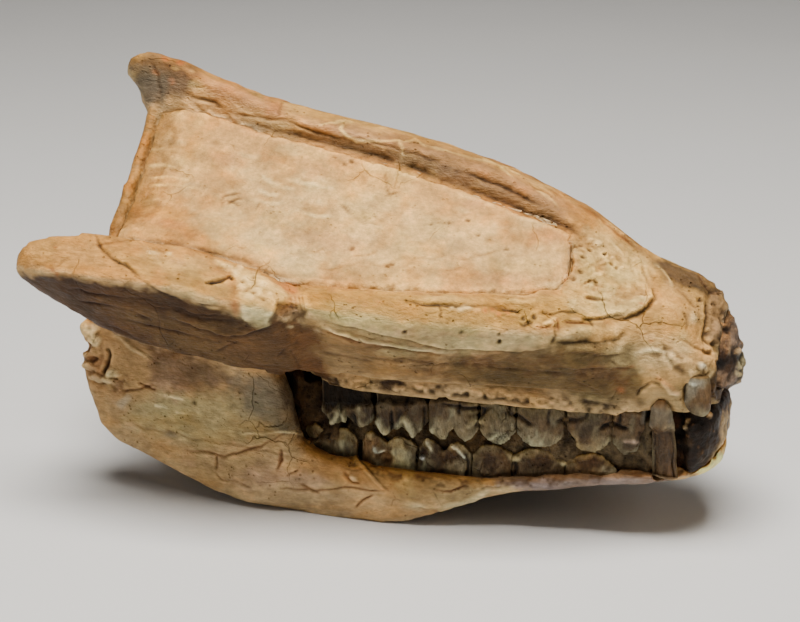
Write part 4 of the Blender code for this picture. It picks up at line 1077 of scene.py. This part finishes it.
def draw_teeth(p):
    """All the teeth of both sides: each takes the strokes that land on it."""
    x, _, z = p.points.T
    p.lift += rough(p.points, 4.0, 3, 401, (0.7, 1, 1.6)) * 0.42 + rough(p.points, 1.1, 2, 409) * 0.08
    p.blotch(TOOTH_RIM * 0.9, 4, 0.30, 0.55, 402, (0.7, 1, 1.8))
    p.blotch(NEAR_BLACK, 6, 0.20, 0.65, 403)
    p.blotch(TOOTH_FACE * 0.6, 9, 0.0, 0.6, 405)
    p.gloss[:] = 0.40 + rough(p.points, 5, 2, 404) * 0.14
    # Worn enamel along the crown's edge
    upper = p.node.startswith("upper")
    strip = np.floor(x / 0.7).astype(int)
    strip -= strip.min()
    tip = np.full(strip.max() + 1, 1e9)
    np.minimum.at(tip, strip, z if upper else -z)
    height = (z if upper else -z) - tip[strip] + p.ragged * 0.7
    rim = smoothstep(2.4, 0.4, height) * (np.abs(p.normals[:, 1]) > 0.3)
    rim *= np.clip(0.55 + noise(p.points, 3, 411), 0, 1)
    p.paint += (TOOTH_RIM - p.paint) * (rim * (0.3 if upper else 0.45))[:, None]
    p.lift += rim * 0.3
    # Necks of the upper teeth: painted shade in the hollow under the cheek
    p.field([(296, 366), (350, 372), (440, 376), (530, 384), (600, 396), (640, 404), (640, 412),
             (590, 408), (540, 406), (450, 400), (366, 404), (300, 412)], NEAR_BLACK * 0.35, 0.95, 4, -1.4)
    p.gloss[p.seen & (p.frayed[:, 1] < 404)] = 0.9
    # Painted shade over the upper crowns under the cheek's overhang
    p.field([(365, 392), (470, 392), (470, 411), (365, 414)], TOOTH * 0.4, 0.6, 5)
    p.field([(470, 400), (600, 402), (600, 420), (470, 418)], OLIVE * 0.35, 0.65, 5)
    p.field([(600, 404), (664, 404), (664, 440), (600, 436)], BROWN * 0.3, 0.65, 6)
    p.ridges(([(308, 422), (315, 407), (322, 420)], [(330, 426), (340, 408), (350, 428)], [(366, 440),
               (378, 420), (390, 442)], [(393, 438), (405, 418), (416, 448)], [(425, 440), (437, 422),
               (448, 442)], [(466, 428), (476, 420), (486, 420)]), 5.5, 1.1, TOOTH_RIM, 0.55)
    p.grooves(([(322, 412), (330, 428)], [(352, 412), (356, 428), (362, 444)], [(391, 410), (393, 436)],
               [(424, 404), (426, 418), (423, 430)], [(440, 404), (462, 408), (492, 408)],
               [(476, 430), (480, 416), (485, 408)], [(500, 412), (520, 418), (532, 426)],
               [(558, 422), (576, 420), (586, 417), (588, 408)], [(548, 426), (549, 410)],
               [(600, 430), (612, 425), (628, 430)], [(566, 430), (573, 442), (572, 456)],
               [(340, 398), (342, 412)], [(404, 392), (406, 410)], [(458, 398), (459, 414)],
               [(512, 400), (510, 414)], [(620, 410), (618, 424)]), 3.6, 1.1, NEAR_BLACK * 0.6, 0.95)
    # Lower crowns: hollow half-moon faces
    for a, b, w, h in ((366, 450, 13, 20), (385, 458, 11, 9), (422, 453, 10, 11), (452, 456, 15, 10),
                       (488, 462, 15, 12), (539, 463, 20, 11), (594, 464, 22, 10)):
        p.dab(a, b, w, h, TOOTH_FACE * (3.4 if a < 390 else 0.9), 0.95, 0, -1.2)
    p.ridges(([(372, 448), (378, 453), (386, 450)], [(419, 457), (425, 460)], [(428, 438), (430, 444),
               (434, 452)], [(452, 444), (458, 450), (467, 460)]), 2.6, 0.4, WHITE, 0.9)
    p.field([(394, 432), (402, 440), (414, 470), (416, 492), (392, 490), (391, 450)], TOOTH_RIM,
            0.65, 3, 0.4)
    p.field([(396, 462), (414, 460), (416, 488), (398, 486)], KHAKI * 0.6, 0.6, 3)
    for k in range(5):
        p.ridge([(480 + 3 * k, 452 - 5 * k), (489 + 4 * k, 437 - k), (502 + 3 * k, 448), (509, 458)],
                2.2, 0.5, TOOTH_RIM, 0.55)
    p.dabs(((515, 458), (556, 451), (563, 464), (648, 450)), 5, 4, CREAM * 0.7, 0.7, 0, 0.5)
    p.grooves(([(466, 452), (469, 464), (466, 478)], [(513, 460), (515, 468), (513, 476)], [(614, 450),
                (618, 460), (615, 468)], [(626, 452), (640, 457), (652, 461)]), 3.6, 1.0, NEAR_BLACK * 0.6,
              0.95)
    p.ridge([(622, 440), (634, 442), (646, 446)], 3, 0.4, ROSE, 0.6)
    # The fang-like tooth and the stump of the canine tooth
    p.field([(640, 400), (682, 400), (684, 426), (640, 426)], BLUE_GREY * (0.45, 0.37, 0.31), 0.7, 4)
    p.field([(636, 380), (676, 380), (676, 404), (636, 404)], BROWN * 0.5, 0.8, 4)
    p.field([(640, 432), (684, 432), (684, 490), (640, 490)], BROWN * 0.34, 0.9, 5, -1.6)
    p.field([(680, 376), (704, 378), (706, 398), (684, 402)], BLUE_GREY * (0.72, 0.6, 0.5), 0.7, 4)
    p.field([(698, 386), (720, 390), (716, 412), (690, 408)], BROWN * 0.4, 0.85, 5)
    p.dab(692, 384, 8, 4, WHITE, 0.4, 20)
    p.groove([(684, 376), (682, 388), (688, 402)], 3, 0.5, NEAR_BLACK, 0.7)
    p.paint *= (1.18, 1.34, 1.5)


def draw_matrix(p):
    """The dark stone between the jaws, which stands out between the tooth rows."""
    p.lift += rough(p.points, 6, 4, 501) * 0.9 + rough(p.points, 1.8, 2, 502) * 0.22
    p.blotch(BROWN * 0.3, 9, 0.1, 0.6, 503)
    p.blotch(RUST * 0.35, 6, 0.35, 0.5, 504)
    p.gloss[:] = 0.45 + rough(p.points, 4, 2, 505) * 0.2
    p.ridge([(660, 432), (664, 450), (658, 470)], 7, 0.8, BROWN * 0.7, 0.7)
    p.groove([(672, 398), (680, 412), (690, 424)], 5, 0.8, NEAR_BLACK * 0.5, 0.9)
    p.dabs(((688, 421), (687, 427), (710, 415)), 4, 4, PALE, 0.8, 0, 0.8)
    for k in range(8):
        p.dab(678 + 5 * k, 440 + 16 * math.sin(k * 1.7), 2.0, 1.8, BROWN, 0.6, 0, 0.25)
    p.field([(362, 402), (660, 412), (660, 474), (430, 478), (300, 452), (310, 424), (350, 420)],
            TOOTH * (0.8, 0.9, 1.0), 0.85, 6, 5.4)
    p.field([(362, 402), (560, 408), (570, 440), (560, 476), (430, 478), (300, 452), (350, 420)],
            TOOTH * 0.7, 0.3, 8, 1.2)
    p.field([(290, 372), (330, 378), (366, 404), (350, 424), (312, 430), (298, 440)],
            TOOTH * 0.5, 0.8, 8, 7.5)
    p.blotch(TOOTH * 0.6, 4, 0.36, 0.3, 506)
    p.field([(699, 476), (711, 460), (720, 442), (722, 426), (727, 410), (742, 404), (742, 470),
             (702, 486)], GOLD_TAN * 1.2, 0.9, 3)
    p.lift += p.ragged * 0.6


def draw_nose_stone(p):
    """The stone in the nose break, with its crystals."""
    draw_matrix(p)
    p.blotch(MAUVE * 0.8, 5, 0.0, 0.6, 511)
    p.field([(700, 296), (728, 296), (742, 330), (742, 350), (712, 350), (704, 320)], MAUVE * 0.7,
            0.7, 4)
    for k in range(7):
        a = 711 + 2.2 * k
        p.ridge([(a, 312 + 2 * k), (a + 5, 326 + 2 * k), (a + 3, 342 + 2 * k)], 2.2, 0.7,
                ROSE if k % 2 else PALE, 0.8)
    for a, b in ((738, 366), (736, 373), (739, 380), (731, 391), (729, 397), (737, 352)):
        p.dab(a, b, 5, 5, PALE if a % 2 else KHAKI, 0.65, 0, 0.8)
    p.dab(712, 385, 9, 7, NEAR_BLACK * 0.4, 0.95, 0, -1.4)
    p.dab(722, 362, 7, 9, NEAR_BLACK, 0.8, 0, -0.8)
    p.dab(726, 330, 5, 6, NEAR_BLACK, 0.7, 0, -0.8)


Piece("cranium", 2.0, draw_cranium).finish(BONE_LOOK)
Piece("lower_jaw", 1.25, draw_jaw).finish(BONE_LOOK)
for node in ("right_temple_matrix", "left_temple_matrix"):
    Piece(node, 1.5, draw_stone, PALE, levels=1).finish(STONE_LOOK)
Piece("jaw_matrix", 1.3, draw_matrix, NEAR_BLACK, levels=1).finish(MATRIX_LOOK)
Piece("nose_matrix", 0.6, draw_nose_stone, NEAR_BLACK * 1.6, levels=0).finish(MATRIX_LOOK)
for node in sorted(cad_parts):
    if node.endswith(("canine", "_1", "_2", "_3", "_4")):
        Piece(node, 0.45, draw_teeth, TOOTH, levels=0).finish(TOOTH_LOOK)


def stage():
    """A round pale floor that curves up into a wall, in metres."""
    sides, flat_rows, curved_rows, wall_rows = 64, 6, 20, 8
    flat_end, bend = 1.6, 0.9
    floor = bpy.data.meshes.new("floor")
    shape = bmesh.new()
    rows = []
    for k in range(flat_rows + curved_rows + wall_rows):
        curved = k - flat_rows
        if curved < 0:
            far, high = 0.02 + k * 0.3, 0.0
        elif curved < curved_rows:
            turn = math.radians(curved * 90 / curved_rows)
            far, high = flat_end + bend * math.sin(turn), bend - bend * math.cos(turn)
        else:
            far, high = flat_end + bend, bend + (curved - curved_rows + 1) * 0.2
        rows.append([shape.verts.new((far * math.cos(a), far * math.sin(a), high))
                     for a in (math.tau * i / sides for i in range(sides))])
    shape.faces.new(rows[0])
    for low, high in zip(rows, rows[1:]):
        for i in range(sides):
            shape.faces.new((low[i], low[i - 1], high[i - 1], high[i]))
    for face in shape.faces:
        face.smooth = True
    shape.to_mesh(floor)
    shape.free()
    obj = bpy.data.objects.new("floor", floor)
    bpy.context.scene.collection.objects.link(obj)
    n = Nodes("plain_paper")
    place = n.add("ShaderNodeTexCoord").outputs["Object"]
    cloud = n.add("ShaderNodeTexNoise", {"Vector": place, "Scale": 6.0, "Detail": 3.0}).outputs["Fac"]
    colour = n.mixed(cloud, (0.60, 0.59, 0.57, 1), (0.64, 0.63, 0.61, 1))
    shader = n.add("ShaderNodeBsdfPrincipled", {"Base Color": colour, "Roughness": 0.85})
    n.add("ShaderNodeOutputMaterial", {"Surface": shader.outputs["BSDF"]})
    floor.materials.append(n.material)


def aim(obj, place, at):
    """Puts a lamp or camera at a place, looking at another."""
    obj.location = Vector(place)
    obj.rotation_euler = (Vector(at) - Vector(place)).to_track_quat("-Z", "Y").to_euler()


def light(name, place, size, power, colour):
    """A soft lamp aimed at the middle of the skull."""
    data = bpy.data.lights.new(name, "AREA")
    data.shape = "RECTANGLE"
    data.size, data.size_y = size
    data.energy = power
    data.color = colour
    obj = bpy.data.objects.new(name, data)
    bpy.context.scene.collection.objects.link(obj)
    aim(obj, place, (0, 0, 0.05))


stage()
light("overhead", (0.05, -0.22, 0.95), (0.55, 0.4), 21.0, (1.0, 0.97, 0.93))
light("front_left", (-0.75, -0.85, 0.45), (0.6, 0.6), 0.9, (1.0, 0.98, 0.96))
light("right_rim", (0.85, -0.10, 0.45), (0.4, 0.6), 1.2, (1.0, 0.98, 0.95))

world = bpy.data.worlds.new("studio_air")
bpy.context.scene.world = world
world.use_nodes = True
world.node_tree.nodes["Background"].inputs["Color"].default_value = (0.86, 0.9, 1.0, 1)
world.node_tree.nodes["Background"].inputs["Strength"].default_value = 0.06

view = bpy.data.cameras.new("photo_view")
view.lens = LENS
view.sensor_width = SENSOR
view.clip_start = 0.01
camera = bpy.data.objects.new("photo_view", view)
bpy.context.scene.collection.objects.link(camera)
aim(camera, CAMERA * MM, TARGET * MM)
bpy.context.scene.camera = camera
